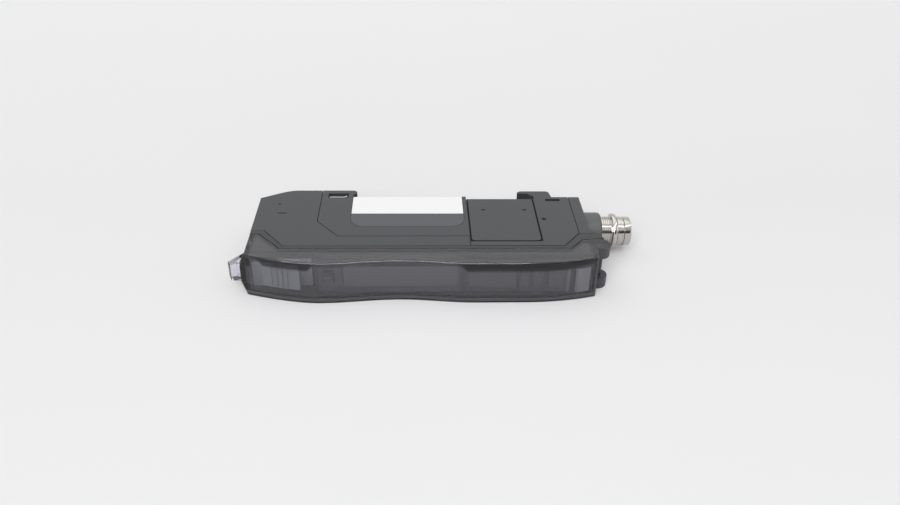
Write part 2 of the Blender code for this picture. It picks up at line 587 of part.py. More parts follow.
def make_front_frame(finish):
    front = shifted(skirt_path(), RUNNING_GAP)
    back = shifted(seam_path(), -PARTING_GAP)
    front[-1] = (HINGE[0], HINGE[1] + EAR_RADIUS + RUNNING_GAP)
    lug = [(LUG_END_X, front[-1][1] + 0.1), (LUG_END_X - 0.4, back[-1][1] - 0.5), (LUG_END_X - 1.2, back[-1][1])]
    strip = plate("front_frame", front + lug + back[::-1], 0.0, THICKNESS, finish, edge_low=0.05, edge_high=0.05)
    middle = [((a[0] + b[0]) / 2, (a[1] + b[1]) / 2) for a, b in zip(front, back)]
    left = COVER_SIDE_WALL + RUNNING_GAP
    middle[0] = (left, middle[0][1])
    middle[-1] = (FRAME_END_X, middle[-1][1])
    face = [(left, SHELF_Y), (SHELF_END_X, SHELF_Y), (SHELF_END_X + 0.2, PANEL_Y), *NAMEPLATE]
    low = COVER_SIDE_WALL + RUNNING_GAP
    high = THICKNESS - low
    core = plate("add_panel_core", face + middle[::-1], low, high, None)
    arm_gap = EAR_THICKNESS + RUNNING_GAP
    arm = rounded([(FRAME_END_X - 1.0, HINGE[1] - ARM_RADIUS), (HINGE[0] + ARM_RADIUS, HINGE[1] - ARM_RADIUS,
                  ARM_RADIUS), (HINGE[0] + ARM_RADIUS, HINGE[1] + ARM_RADIUS, ARM_RADIUS),
                  (FRAME_END_X - 1.0, HINGE[1] + ARM_RADIUS)], 6)
    join(strip, core,
         plate("add_hinge_arm", arm, arm_gap, THICKNESS - arm_gap, None),
         rod("add_hinge_pins", HINGE[0], HINGE[1], PIN_RADIUS, arm_gap - PIN_LENGTH - RUNNING_GAP,
             THICKNESS - arm_gap + PIN_LENGTH + RUNNING_GAP, None, count=16))
    behind = PANEL_Y + PANEL_WALL
    step_back = PANEL_Y + PANEL_STEP_DEPTH
    left_step = [(PANEL_STEP_LEFT[0], PANEL_TOP_Z), (PANEL_STEP_LEFT[1], PANEL_TOP_Z),
                 (PANEL_STEP_LEFT[2], high), (PANEL_STEP_LEFT[2], high + 1.0), (PANEL_STEP_LEFT[0], high + 1.0)]
    right_step = [(PANEL_STEP_RIGHT[0], high), (PANEL_STEP_RIGHT[1], PANEL_TOP_Z),
                  (PANEL_STEP_RIGHT[2], PANEL_TOP_Z), (PANEL_STEP_RIGHT[2], high + 1.0),
                  (PANEL_STEP_RIGHT[0], high + 1.0)]
    cut(strip,
        cutter_box("cut_pocket", POCKET[0], POCKET[1], behind, SEAM_Y + 1.0, POCKET[2], POCKET[3]),
        plate("cut_left_step", left_step, PANEL_Y - 2.0, step_back, None, axis="Y"),
        plate("cut_right_step", right_step, PANEL_Y - 2.0, step_back, None, axis="Y"))
    for key, (x0, x1) in KEYS.items():
        hole = rounded(box_corners(x0 - PARTING_GAP, x1 + PARTING_GAP, KEY_LOW_Z - PARTING_GAP,
                                   KEY_HIGH_Z + PARTING_GAP, KEY_CORNER + PARTING_GAP))
        cut(strip, plate("cut_%s_hole" % key, hole, PANEL_Y - 1.0, behind + 0.5, None, axis="Y"))
    x0, x1, z0, z1 = WINDOW
    lip = rounded(box_corners(x0 - SEAT_GAP, x1 + SEAT_GAP, z0 - SEAT_GAP, z1 + SEAT_GAP, 0.6))
    view = rounded(box_corners(x0 + WINDOW_LEDGE, x1 - WINDOW_LEDGE, z0 + WINDOW_LEDGE, z1 - WINDOW_LEDGE, 0.4))
    cut(strip,
        plate("cut_window_seat", lip, PANEL_Y - 1.0, PANEL_Y + WINDOW_THICKNESS + SEAT_GAP, None, axis="Y"),
        plate("cut_window_view", view, PANEL_Y - 1.0, behind + 0.5, None, axis="Y"))
    half = SELECTOR_WIDTH / 2 + RUNNING_GAP
    knob_top = SELECTOR_LOW_Z + SELECTOR_HEIGHT + SELECTOR_TRAVEL
    cut(strip,
        cutter_box("cut_selector_slot", SELECTOR_X - half, SELECTOR_X + half, PANEL_Y - 1.0, behind + 0.5,
                   SELECTOR_LOW_Z - RUNNING_GAP, knob_top + RUNNING_GAP),
        cutter_box("cut_lever_slot", LEVER_KEEL[0] - RUNNING_GAP, LEVER_KEEL[1] + LEVER_TRAVEL + RUNNING_GAP,
                   SHELF_Y - 1.0, LEVER_KEEL_Y + RUNNING_GAP, LEVER_KEEL[2] - RUNNING_GAP,
                   LEVER_KEEL[3] + RUNNING_GAP),
        cutter_box("cut_led_pocket", 0.0, LED_POCKET[0], LED_POCKET[1], LED_POCKET[2], LED_POCKET[3],
                   LED_POCKET[4]))
    return strip


def make_dust_cover(finish):
    def left_end(z):
        height = min(z, THICKNESS - z)
        return COVER_LEFT - COVER_LEFT_BULGE * min(1.0, height / COVER_BULGE_HEIGHT)

    arc = [(HINGE[0] + EAR_RADIUS * math.cos(math.radians(a)), HINGE[1] + EAR_RADIUS * math.sin(math.radians(a)))
           for a in range(-90, 91, 15)]
    rear = skirt_path()[1:-1][::-1]
    levels = []
    rise = [(0.0, 1.0), (0.3, 0.29), (1.0, 0.0)]
    heights = [(share * COVER_FOOT_RADIUS, drop * COVER_FOOT_RADIUS) for share, drop in rise]
    heights += [(COVER_BULGE_HEIGHT, 0.0), (THICKNESS - COVER_BULGE_HEIGHT, 0.0)]
    heights += [(THICKNESS - share * COVER_EDGE_RADIUS, drop * COVER_EDGE_RADIUS) for share, drop in reversed(rise)]
    for z, drop in heights:
        left = left_end(z)
        outline = front_points(left, COVER_RIGHT, drop)
        outline += [(HINGE[0] - 0.9, HINGE[1] - EAR_RADIUS)] + arc + rear + [(left, SKIRT_LEFT_Y)]
        levels.append((outline, z))
    cover = stack("dust_cover", levels, finish, origin=(HINGE[0], HINGE[1], 0.0))
    inner_right = COVER_RIGHT - COVER_SIDE_WALL
    inside = front_points(COVER_SIDE_WALL, inner_right, COVER_FRONT_WALL)
    inside += [(inner_right, SKIRT_LEFT_Y + 3.0), (COVER_SIDE_WALL, SKIRT_LEFT_Y + 3.0)]
    swing = HINGE[0] - FRAME_END_X - RUNNING_GAP
    swing_room = [(HINGE[0] - swing * math.cos(math.radians(a)), HINGE[1] + swing * math.sin(math.radians(a)))
                  for a in range(0, 91, 10)]
    swing_room += [(HINGE[0], SKIRT_LEFT_Y), (inner_right - 1.0, SKIRT_LEFT_Y), (inner_right - 1.0, HINGE[1])]
    cut(cover,
        plate("cut_cover_inside", inside, COVER_SIDE_WALL, THICKNESS - COVER_SIDE_WALL, None),
        plate("cut_swing_room", swing_room[::-1], COVER_SIDE_WALL, THICKNESS - COVER_SIDE_WALL, None),
        cutter_box("cut_between_ears", inner_right - 1.0, HINGE[0] + EAR_RADIUS + 1.0, END_WALL_BACK_Y,
                   SKIRT_LEFT_Y, EAR_THICKNESS, THICKNESS - EAR_THICKNESS),
        cutter_box("cut_lens_notch", -4.0, COVER_SIDE_WALL + 0.5, LENS_NOTCH_Y, SKIRT_LEFT_Y + 2.0,
                   LENS_LOW_Z - RUNNING_GAP, LENS_HIGH_Z + RUNNING_GAP),
        rod("cut_pin_holes", HINGE[0], HINGE[1], PIN_HOLE_RADIUS, EAR_THICKNESS - PIN_LENGTH - 0.2,
            THICKNESS - EAR_THICKNESS + PIN_LENGTH + 0.2, None, count=16))
    return cover


def make_indicator_lens(finish):
    """Hollow wedge of clear plastic, open towards the status light behind it."""
    front_y = LENS_NOTCH_Y + RUNNING_GAP
    slope_foot = LENS_TIP[1][0] + LENS_BACK_Y - LENS_TIP[1][1]
    outline = [(LENS_ROOT_X, front_y), (LENS_ROOT_X, LENS_BACK_Y), (slope_foot, LENS_BACK_Y), LENS_TIP[1],
               LENS_TIP[0], (-1.1, front_y)][::-1]
    reach = -LENS_TIP[1][0]
    lens = stack("indicator_lens", [
        (outline, lambda x, y: LENS_LOW_Z + LENS_TAPER_LOW * max(0.0, -x) / reach),
        (outline, lambda x, y: LENS_HIGH_Z - LENS_TAPER_HIGH * max(0.0, -x) / reach)], finish)
    tip_x = LENS_TIP[0][0] + LENS_TIP_WALL
    hollow = [(LENS_ROOT_X + 1.0, front_y + LENS_WALL), (LENS_ROOT_X + 1.0, LENS_BACK_Y - LENS_WALL),
              (slope_foot, LENS_BACK_Y - LENS_WALL), (tip_x, LENS_TIP[1][1] + LENS_WALL),
              (tip_x, front_y + LENS_WALL)][::-1]
    cut(lens, stack("cut_lens_hollow", [
        (hollow, lambda x, y: LENS_LOW_Z + LENS_WALL + LENS_TAPER_LOW * max(0.0, -x) / reach),
        (hollow, lambda x, y: LENS_HIGH_Z - LENS_WALL - LENS_TAPER_HIGH * max(0.0, -x) / reach)], None))
    return lens


def make_status_led(finish):
    left = COVER_SIDE_WALL + RUNNING_GAP + 0.1
    return block("status_led", left, LED_POCKET[0] - SEAT_GAP, LED_POCKET[1] + SEAT_GAP, LED_POCKET[2] - SEAT_GAP,
                 LED_POCKET[3] + SEAT_GAP, LED_POCKET[4] - SEAT_GAP, finish, 0.15)


def make_display(window_finish, module_finish):
    x0, x1, z0, z1 = WINDOW
    front = PANEL_Y + WINDOW_SINK
    plate("display_window", rounded(box_corners(x0, x1, z0, z1, 0.5)), front, front + WINDOW_THICKNESS,
          window_finish, axis="Y")
    low = BOARD_Z + BOARD_THICKNESS + SEAT_GAP
    near = PANEL_Y + PANEL_WALL + SEAT_GAP
    front = near + DISPLAY_SET_BACK
    half = DISPLAY_SPLIT_GAP / 2
    for side, left, right in (("left", x0 + DISPLAY_MARGIN, DISPLAY_SPLIT_X - half),
                              ("right", DISPLAY_SPLIT_X + half, x1 - DISPLAY_MARGIN)):
        block("display_" + side, left, right, front, front + DISPLAY_DEPTH, low, low + DISPLAY_HEIGHT,
              module_finish, 0.1)


def make_key(key, x0, x1, finish):
    """Push key with a rounded cap, and a flange that stops it behind the panel."""
    back = PANEL_Y + PANEL_WALL + SEAT_GAP
    face = PANEL_Y - KEY_PROUD
    cap = rounded(box_corners(x0, x1, KEY_LOW_Z, KEY_HIGH_Z, KEY_CORNER))
    flange = rounded(box_corners(x0 - KEY_FLANGE, x1 + KEY_FLANGE, KEY_LOW_Z - KEY_FLANGE,
                                 KEY_HIGH_Z + KEY_FLANGE, KEY_CORNER))
    levels = [(inset(cap, 0.35), face), (inset(cap, 0.1), face + 0.1), (cap, face + 0.35),
              (cap, back), (flange, back), (flange, back + KEY_FLANGE_THICKNESS)]
    middle = ((x0 + x1) / 2, face, (KEY_LOW_Z + KEY_HIGH_Z) / 2)
    return stack("%s_button" % key, levels, finish, axis="Y", origin=middle)


def make_switch(key, x0, x1, finish):
    """Push switch on the board, with its plunger just behind the key."""
    middle = (x0 + x1) / 2
    half = min(1.3, (x1 - x0) / 2 - 0.1)
    low = BOARD_Z + BOARD_THICKNESS + SEAT_GAP
    tip = PANEL_Y + PANEL_WALL + SEAT_GAP + KEY_FLANGE_THICKNESS + KEY_TRAVEL + 0.05
    front = tip + PLUNGER_LENGTH
    body = block("%s_switch" % key, middle - half, middle + half, front, front + SWITCH_DEPTH, low, SWITCH_TOP_Z,
                 finish)
    join(body, rod("add_%s_plunger" % key, middle, (low + SWITCH_TOP_Z) / 2, PLUNGER_RADIUS, tip, front + 0.3,
                   None, axis="Y", count=12))
    return body


def make_output_selector(knob_finish, switch_finish):
    back = PANEL_Y + PANEL_WALL + SEAT_GAP
    left = SELECTOR_X - SELECTOR_WIDTH / 2
    right = SELECTOR_X + SELECTOR_WIDTH / 2
    knob = block("output_selector", left, right, PANEL_Y - 0.7, back + 0.3, SELECTOR_LOW_Z,
                 SELECTOR_LOW_Z + SELECTOR_HEIGHT, knob_finish)
    join(knob, cutter_box("add_selector_flange", left - 0.35, right + 0.35, back, back + 0.5,
                          SELECTOR_LOW_Z - 0.35, SELECTOR_LOW_Z + SELECTOR_HEIGHT + 0.35))
    for index in range(2):
        z = SELECTOR_LOW_Z + SELECTOR_HEIGHT * (index + 1) / 3
        cut(knob, cutter_box("cut_selector_grip_%d" % index, left - 1.0, right + 1.0, PANEL_Y - 1.0, PANEL_Y - 0.45,
                             z - 0.12, z + 0.12))
    low = BOARD_Z + BOARD_THICKNESS + SEAT_GAP
    block("selector_switch", BOARD_TONGUE[0] + 0.1, SELECTOR_X + 1.5, back + 0.8, back + 3.4, low, SWITCH_TOP_Z,
          switch_finish)
    return knob


def make_fibre_lock_lever(finish):
    """Thumb slide whose face follows the dust cover, with a keel in the frame's slot and grip grooves."""
    front = []
    for k in range(13):
        x = LEVER_LEFT + (LEVER_RIGHT - LEVER_LEFT) * k / 12
        front.append((x, front_line(x) + COVER_FRONT_WALL + LEVER_COVER_GAP))
    outline = front + [(LEVER_RIGHT, LEVER_BACK_Y), (LEVER_LEFT, LEVER_BACK_Y)]
    middle = ((LEVER_LEFT + LEVER_RIGHT) / 2, LEVER_BACK_Y, AXIS_Z)
    lever = plate("fibre_lock_lever", outline, LEVER_LOW_Z, LEVER_HIGH_Z, finish, edge_low=0.25, edge_high=0.25,
                  origin=middle)
    x0, x1, z0, z1 = LEVER_KEEL
    join(lever, cutter_box("add_lever_keel", x0, x1, LEVER_BACK_Y - 0.5, LEVER_KEEL_Y, z0, z1))
    first = (LEVER_LEFT + LEVER_RIGHT - (LEVER_GRIPS - 1) * LEVER_GRIP_PITCH) / 2
    for index in range(LEVER_GRIPS):
        x = first + index * LEVER_GRIP_PITCH
        y = front_line(x) + COVER_FRONT_WALL + LEVER_COVER_GAP
        cut(lever, cutter_box("cut_lever_grip_%d" % (index + 1), x - LEVER_GRIP_WIDTH / 2, x + LEVER_GRIP_WIDTH / 2,
                              y - 1.0, y + LEVER_GRIP_DEPTH, LEVER_LOW_Z - 1.0, LEVER_HIGH_Z + 1.0))
    return lever


def make_main_board(finish):
    inner = shifted(seam_path(), CASE_WALL + BOARD_EDGE_GAP)
    right = CASE_LENGTH - CASE_WALL - BOARD_EDGE_GAP - 1.0
    rear = CAVITY_REAR_Y - BOARD_EDGE_GAP
    outline = [(inner[2][0], inner[2][1]), (BOARD_TONGUE[0], inner[2][1]), (BOARD_TONGUE[0], BOARD_TONGUE_Y),
               (BOARD_TONGUE[1], BOARD_TONGUE_Y), (BOARD_TONGUE[1], inner[3][1]), inner[3],
               (right, inner[4][1] + 0.4), (right, rear), (BLOCK[0], rear), (BLOCK[0], inner[1][1] + 0.4)]
    return plate("main_board", outline, BOARD_Z, BOARD_Z + BOARD_THICKNESS, finish)


def make_optics(block_finish, bush_finish, diode_finish):
    low = BOARD_Z + BOARD_THICKNESS + SEAT_GAP
    x0, x1, y0, y1 = BLOCK
    carrier = block("optical_block", x0, x1, y0, y1, low, BLOCK_TOP_Z, block_finish, 0.2)
    names = (("emitter_led", "fibre_bush_emitter"), ("receiver_diode", "fibre_bush_receiver"))
    for index, (y, (diode, bush)) in enumerate(zip(FIBRE_Y, names)):
        cut(carrier,
            rod("cut_fibre_bore_%d" % (index + 1), y, AXIS_Z, FIBRE_BORE, x0 - 1.0, DIODE_SEAT_X + 0.5, None,
                axis="X", count=16),
            rod("cut_diode_seat_%d" % (index + 1), y, AXIS_Z, DIODE_RADIUS + SEAT_GAP, DIODE_SEAT_X, x1 + 1.0, None,
                axis="X", count=16))
        start = DIODE_SEAT_X + SEAT_GAP
        turned(diode, [(start + 0.7, 0.0), (start + 0.7, DIODE_RADIUS - 0.5), (start + 1.1, DIODE_RADIUS),
                       (x1 + 0.2, DIODE_RADIUS), (x1 + 0.2, DIODE_RADIUS + 0.3), (x1 + 0.9, DIODE_RADIUS + 0.3),
                       (x1 + 0.9, 0.0)], y, AXIS_Z, diode_finish, steps=16)
        turned(bush, [(0.1, FIBRE_BORE + 0.25), (0.1, BUSH_RADIUS), (BUSH_LENGTH, BUSH_RADIUS),
                      (BUSH_LENGTH, FIBRE_BORE), (0.4, FIBRE_BORE)], y, AXIS_Z, bush_finish, steps=20)
    return carrier


def make_rail_spring(finish):
    """Bent leaf in the foot, with a raised tab that shows in the slot of the side cover."""
    upper = shifted(SPRING_POINTS, SPRING_SHEET / 2)
    lower = shifted(SPRING_POINTS, -SPRING_SHEET / 2)
    spring = plate("rail_spring", lower + upper[::-1], SPRING_Z[0], SPRING_Z[1], finish)
    tab = lower[SPRING_TAB_START:] + upper[SPRING_TAB_START:][::-1]
    join(spring, plate("add_spring_tab", tab, SPRING_Z[1] - 1.0, SPRING_TAB_Z, None))
    return spring


def make_expansion_socket(finish):
    low = BOARD_Z + BOARD_THICKNESS + SEAT_GAP
    x0, x1, y0, y1 = SOCKET
    socket = block("expansion_socket", x0, x1, y0, y1, low, SOCKET_TOP_Z, finish)
    cut(socket, cutter_box("cut_socket_well", x0 + SOCKET_WALL, x1 - SOCKET_WALL, y0 + SOCKET_WALL,
                           y1 - SOCKET_WALL, SOCKET_TOP_Z - SOCKET_DEPTH, SOCKET_TOP_Z + 1.0))
    pitch = (x1 - x0 - 2 * SOCKET_WALL) / (SOCKET_CONTACTS + 1)
    for index in range(SOCKET_CONTACTS):
        x = x0 + SOCKET_WALL + pitch * (index + 1)
        join(socket, cutter_box("add_socket_contact_%d" % index, x - 0.2, x + 0.2, (y0 + y1) / 2 - 0.6,
                                (y0 + y1) / 2 + 0.6, SOCKET_TOP_Z - SOCKET_DEPTH - 0.3, SOCKET_TOP_Z - 1.0))
    return socket


def make_connector(collar_finish, shell_finish, insert_finish, contact_finish):
    bore = STEM_RADIUS + SEAT_GAP
    start = CASE_LENGTH + 0.05
    turned("connector_collar", [(start, bore), (start, COLLAR_RADIUS), (COLLAR_END_X - 0.5, COLLAR_RADIUS),
                                (COLLAR_END_X, COLLAR_RADIUS - 0.5), (COLLAR_END_X, bore)],
           CONNECTOR_Y, AXIS_Z, collar_finish, steps=40)
    inside = CASE_LENGTH - CASE_WALL + 0.2
    shank = COLLAR_END_X + SEAT_GAP
    half = GROOVE_WIDTH / 2
    turned("m8_shell", [(inside, SHELL_BORE), (inside, STEM_RADIUS), (shank, STEM_RADIUS), (shank, SHANK_RADIUS),
                        (FLANGE_START_X, SHANK_RADIUS), (FLANGE_START_X, FLANGE_RADIUS - 0.15),
                        (FLANGE_START_X + 0.15, FLANGE_RADIUS), (FLANGE_END_X - 0.15, FLANGE_RADIUS),
                        (FLANGE_END_X, FLANGE_RADIUS - 0.15), (FLANGE_END_X, SHANK_RADIUS),
                        (GROOVE_X - half, SHANK_RADIUS), (GROOVE_X - half, SHANK_RADIUS - GROOVE_DEPTH),
                        (GROOVE_X + half, SHANK_RADIUS - GROOVE_DEPTH), (GROOVE_X + half, SHANK_RADIUS),
                        (TIP_X - 0.3, SHANK_RADIUS), (TIP_X, SHANK_RADIUS - 0.3), (TIP_X, SHELL_BORE)],
           CONNECTOR_Y, AXIS_Z, shell_finish, steps=40)
    insert = turned("m8_insert", [(inside + 0.1, 0.0), (inside + 0.1, INSERT_RADIUS), (INSERT_END_X, INSERT_RADIUS),
                                  (INSERT_END_X, 0.0)], CONNECTOR_Y, AXIS_Z, insert_finish, steps=32)
    for index in range(4):
        angle = math.radians(45 + 90 * index)
        y = CONNECTOR_Y + CONTACT_CIRCLE * math.cos(angle)
        z = AXIS_Z + CONTACT_CIRCLE * math.sin(angle)
        cut(insert, rod("cut_contact_hole_%d" % (index + 1), y, z, CONTACT_RADIUS + 0.05, inside - 1.0,
                        INSERT_END_X + 1.0, None, axis="X", count=12))
        turned("contact_pin_%d" % (index + 1),
               [(CONTACT_TAIL_X, 0.0), (CONTACT_TAIL_X, CONTACT_RADIUS), (CONTACT_TIP_X - 0.3, CONTACT_RADIUS),
                (CONTACT_TIP_X, CONTACT_RADIUS - 0.25), (CONTACT_TIP_X, 0.0)], y, z, contact_finish, steps=12)


def make_model():
    housing = material("housing_plastic", (0.105, 0.107, 0.108), 0.5)
    frame = material("frame_plastic", (0.09, 0.091, 0.093), 0.5)
    smoked = material("smoked_polycarbonate", (0.1, 0.098, 0.11), 0.15, alpha=0.7)
    clear = material("clear_acrylic", (0.8, 0.82, 0.84), 0.05, alpha=0.5)
    white = material("label_film", (0.8, 0.8, 0.8), 0.5)
    rubber = material("key_plastic", (0.06, 0.06, 0.065), 0.6)
    black = material("black_nylon", (0.03, 0.03, 0.03), 0.5)
    board = material("board_laminate", (0.03, 0.15, 0.06), 0.5)
    diode = material("diode_epoxy", (0.5, 0.5, 0.52), 0.2)
    steel = material("spring_steel", (0.6, 0.6, 0.6), 0.3, metallic=1.0)
    nickel = material("nickel_plate", (0.75, 0.72, 0.68), 0.2, metallic=1.0)
    gold = material("gold_plate", (0.8, 0.6, 0.25), 0.25, metallic=1.0)

    make_main_case(housing)
    make_side_cover(housing)
    make_rating_label(white)
    make_expansion_cover(housing)
    make_front_frame(frame)
    make_dust_cover(smoked)
    make_indicator_lens(clear)
    make_status_led(diode)
    make_display(smoked, black)
    make_main_board(board)
    make_optics(black, black, diode)
    make_rail_spring(steel)
    make_expansion_socket(black)
    make_connector(black, nickel, black, gold)
    make_fibre_lock_lever(rubber)
    make_output_selector(rubber, black)
    for key, (x0, x1) in KEYS.items():
        make_key(key, x0, x1, rubber)
        make_switch(key, x0, x1, black)


clear_scene()
STAND = bpy.data.objects.new("stand", None)
bpy.context.scene.collection.objects.link(STAND)
STAND.location = (-(LENS_TIP[1][0] + TIP_X) / 2 * MM, -FOOT_Y / 2 * MM, 0.0)
make_model()
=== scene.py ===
"""Looks of a fibre optic sensor amplifier lying on its side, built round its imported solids."""
import math

import bpy
import numpy as np
from mathutils import Matrix, Vector


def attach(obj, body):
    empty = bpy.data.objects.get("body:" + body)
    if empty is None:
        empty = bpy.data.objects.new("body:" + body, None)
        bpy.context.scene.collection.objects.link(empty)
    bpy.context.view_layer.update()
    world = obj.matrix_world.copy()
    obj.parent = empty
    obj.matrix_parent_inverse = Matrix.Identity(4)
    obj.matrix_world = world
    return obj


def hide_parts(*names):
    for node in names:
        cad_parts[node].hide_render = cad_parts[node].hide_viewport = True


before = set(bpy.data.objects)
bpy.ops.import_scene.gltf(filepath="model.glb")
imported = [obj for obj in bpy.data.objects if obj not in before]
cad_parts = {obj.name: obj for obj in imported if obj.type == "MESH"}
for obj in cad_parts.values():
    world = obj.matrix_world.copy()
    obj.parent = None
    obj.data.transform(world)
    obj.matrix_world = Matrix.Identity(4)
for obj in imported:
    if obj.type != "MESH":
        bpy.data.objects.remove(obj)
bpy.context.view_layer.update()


# Camera: the photograph was taken from above the operating face, from close by and with a slight roll.
# The camera's place and angles come from fitting it to corners of the part whose size is known.
MM = 0.001
LENS_MM = 34.0
SENSOR_MM = 36.0
CAMERA_PLACE_MM = (-5.08, -158.77, 102.05)
LOOK_DOWN = math.radians(32.03)
TURN_RIGHT = math.radians(2.80)
ROLL = math.radians(1.37)

forward = np.array([math.sin(TURN_RIGHT) * math.cos(LOOK_DOWN),
                    math.cos(TURN_RIGHT) * math.cos(LOOK_DOWN),
                    -math.sin(LOOK_DOWN)])
level_right = np.array([math.cos(TURN_RIGHT), -math.sin(TURN_RIGHT), 0.0])
level_up = np.cross(level_right, forward)
camera_right = level_right * math.cos(ROLL) + level_up * math.sin(ROLL)
camera_up = -level_right * math.sin(ROLL) + level_up * math.cos(ROLL)
camera_data = bpy.data.cameras.new("camera")
camera_data.lens = LENS_MM
camera_data.sensor_width = SENSOR_MM
camera_data.clip_start = 0.01
camera_data.clip_end = 20.0
camera = bpy.data.objects.new("camera", camera_data)
bpy.context.scene.collection.objects.link(camera)
turned_camera = Matrix(np.column_stack([camera_right, camera_up, -forward]).tolist()).to_4x4()
camera.matrix_world = Matrix.Translation([value * MM for value in CAMERA_PLACE_MM]) @ turned_camera
bpy.context.scene.camera = camera


# Housing: two shells moulded in a satin dark grey ABS blend, with a fine spark-eroded texture. The large
# case holds the foot, the claw and the fibre end, and its side cover is clipped in flush.
HOUSING_GREY = "#3c3e40"
# Near black painted on the seam bevels as shade
SEAM_SHADE = "#121213"
ABS_ROUGHNESS = 0.45
MOULD_GRAIN_MM = 0.16
GRAIN_DEPTH_MM = 0.02
MOULDED_IOR = 1.53
CASE_EDGE_MM, SIDE_COVER_EDGE_MM, EXPANSION_COVER_EDGE_MM = 0.12, 0.3, 0.26
# The drawing's x is 0 at the fibre end of the housing, and its y is 0 at the dust cover's face
DRAWING_ORIGIN_MM = np.array([39.75, 15.5, 0.0])


def linear(hex_colour):
    """sRGB hex value as linear red, green, blue and alpha."""
    values = [int(hex_colour[k:k + 2], 16) / 255 for k in (1, 3, 5)]
    return [v / 12.92 if v <= 0.04045 else ((v + 0.055) / 1.055) ** 2.4 for v in values] + [1.0]


def new_material(name):
    """Material that holds nothing but its shader and its output."""
    made = bpy.data.materials.new(name)
    made.use_nodes = True
    return made, made.node_tree.nodes["Principled BSDF"]


def add(made, kind, settings=(), inputs=(), links=()):
    """Adds a node with its own settings, the values of its inputs and links from other sockets."""
    node = made.node_tree.nodes.new(kind)
    for key, value in dict(settings).items():
        setattr(node, key, value)
    for key, value in dict(inputs).items():
        node.inputs[key].default_value = value
    for key, source in dict(links).items():
        made.node_tree.links.new(source, node.inputs[key])
    return node


def overlay(made, factor, colour):
    """Lays a colour over the one that a material has so far, as much as a factor from 0 to 1 says."""
    own = made.node_tree.nodes["Principled BSDF"].inputs["Base Color"]
    under = [link.from_socket for link in own.links]
    mix = add(made, "ShaderNodeMix", {"data_type": "RGBA"}, {6: tuple(own.default_value), 7: linear(colour)},
              {"Factor": factor})
    for socket in under:
        made.node_tree.links.new(socket, mix.inputs[6])
    made.node_tree.links.new(mix.outputs[2], own)


def shade(colour, share):
    """Hex colour made darker or lighter by a share of its sRGB value."""
    values = [min(255, round(int(colour[k:k + 2], 16) * share)) for k in (1, 3, 5)]
    return "#%02x%02x%02x" % tuple(values)


def moulded_plastic(name, colour, roughness, grain_mm, bump, specular=0.4, flow_mm=9.0, patchiness=0.03):
    """Moulded thermoplastic: even colour with faint flow patches, and the fine grain of the mould as bump."""
    made, shader = new_material(name)
    links = made.node_tree.links
    place = add(made, "ShaderNodeTexCoord").outputs["Object"]
    flow = add(made, "ShaderNodeTexNoise", inputs={"Scale": 1 / (flow_mm * MM), "Detail": 3.0},
               links={"Vector": place})
    shader.inputs["Base Color"].default_value = linear(shade(colour, 1 - patchiness))
    overlay(made, flow.outputs["Fac"], shade(colour, 1 + patchiness))
    grain = add(made, "ShaderNodeTexNoise", links={"Vector": place},
                inputs={"Scale": 1 / (grain_mm * MM), "Detail": 4.0, "Roughness": 0.6})
    rough = add(made, "ShaderNodeMapRange", links={"Value": grain.outputs["Fac"]},
                inputs={"From Min": 0.3, "From Max": 0.7,
                        "To Min": roughness - 0.05, "To Max": roughness + 0.05})
    links.new(rough.outputs["Result"], shader.inputs["Roughness"])
    relief = add(made, "ShaderNodeBump", inputs={"Strength": bump, "Distance": GRAIN_DEPTH_MM * MM},
                 links={"Height": grain.outputs["Fac"]})
    links.new(relief.outputs["Normal"], shader.inputs["Normal"])
    shader.inputs["IOR"].default_value = MOULDED_IOR
    shader.inputs["Specular IOR Level"].default_value = specular
    return made


def inside_box(made, low, high):
    """Factor that is 1 inside a box of drawing coordinates in millimetres and 0 outside."""
    low, high = (np.array(corner) - DRAWING_ORIGIN_MM for corner in (low, high))
    middle, half = (low + high) / 2 * MM, (high - low) / 2 * MM
    place = add(made, "ShaderNodeTexCoord").outputs["Object"]
    offset = add(made, "ShaderNodeVectorMath", {"operation": "SUBTRACT"}, {1: middle.tolist()}, {0: place})
    size = add(made, "ShaderNodeVectorMath", {"operation": "ABSOLUTE"}, links={0: offset.outputs[0]})
    share = add(made, "ShaderNodeVectorMath", {"operation": "DIVIDE"}, {1: half.tolist()},
                {0: size.outputs[0]})
    axes = add(made, "ShaderNodeSeparateXYZ", links={"Vector": share.outputs[0]})
    flat = add(made, "ShaderNodeMath", {"operation": "MAXIMUM"},
               links={0: axes.outputs["X"], 1: axes.outputs["Y"]})
    most = add(made, "ShaderNodeMath", {"operation": "MAXIMUM"},
               links={0: flat.outputs[0], 1: axes.outputs["Z"]})
    within = add(made, "ShaderNodeMath", {"operation": "LESS_THAN"}, {1: 1.0}, {0: most.outputs[0]})
    return within.outputs[0]


def soften(node, edge_mm, edge_shade=None):
    """Rounds a solid's sharp edges a little, as its mould does, and can paint them with a material of painted
    shade.
    """
    weld = node.modifiers.new("Weld", "WELD")
    weld.merge_threshold = 0.002 * MM
    flat = node.modifiers.new("Flat faces", "DECIMATE")
    flat.decimate_type = "DISSOLVE"
    flat.angle_limit = math.radians(0.5)
    bevel = node.modifiers.new("Edges", "BEVEL")
    bevel.width = edge_mm * MM
    bevel.segments = 2
    bevel.limit_method = "ANGLE"
    bevel.angle_limit = math.radians(40)
    bevel.use_clamp_overlap = True
    if edge_shade is not None:
        node.data.materials.append(edge_shade)
        bevel.material = 1


def finish_node(name, made, edge_mm=0.0, edge_shade=None):
    """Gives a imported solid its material, and its edges a small radius where asked for."""
    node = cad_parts[name]
    node.data.materials.clear()
    node.data.materials.append(made)
    if edge_mm:
        soften(node, edge_mm, edge_shade)
    return node


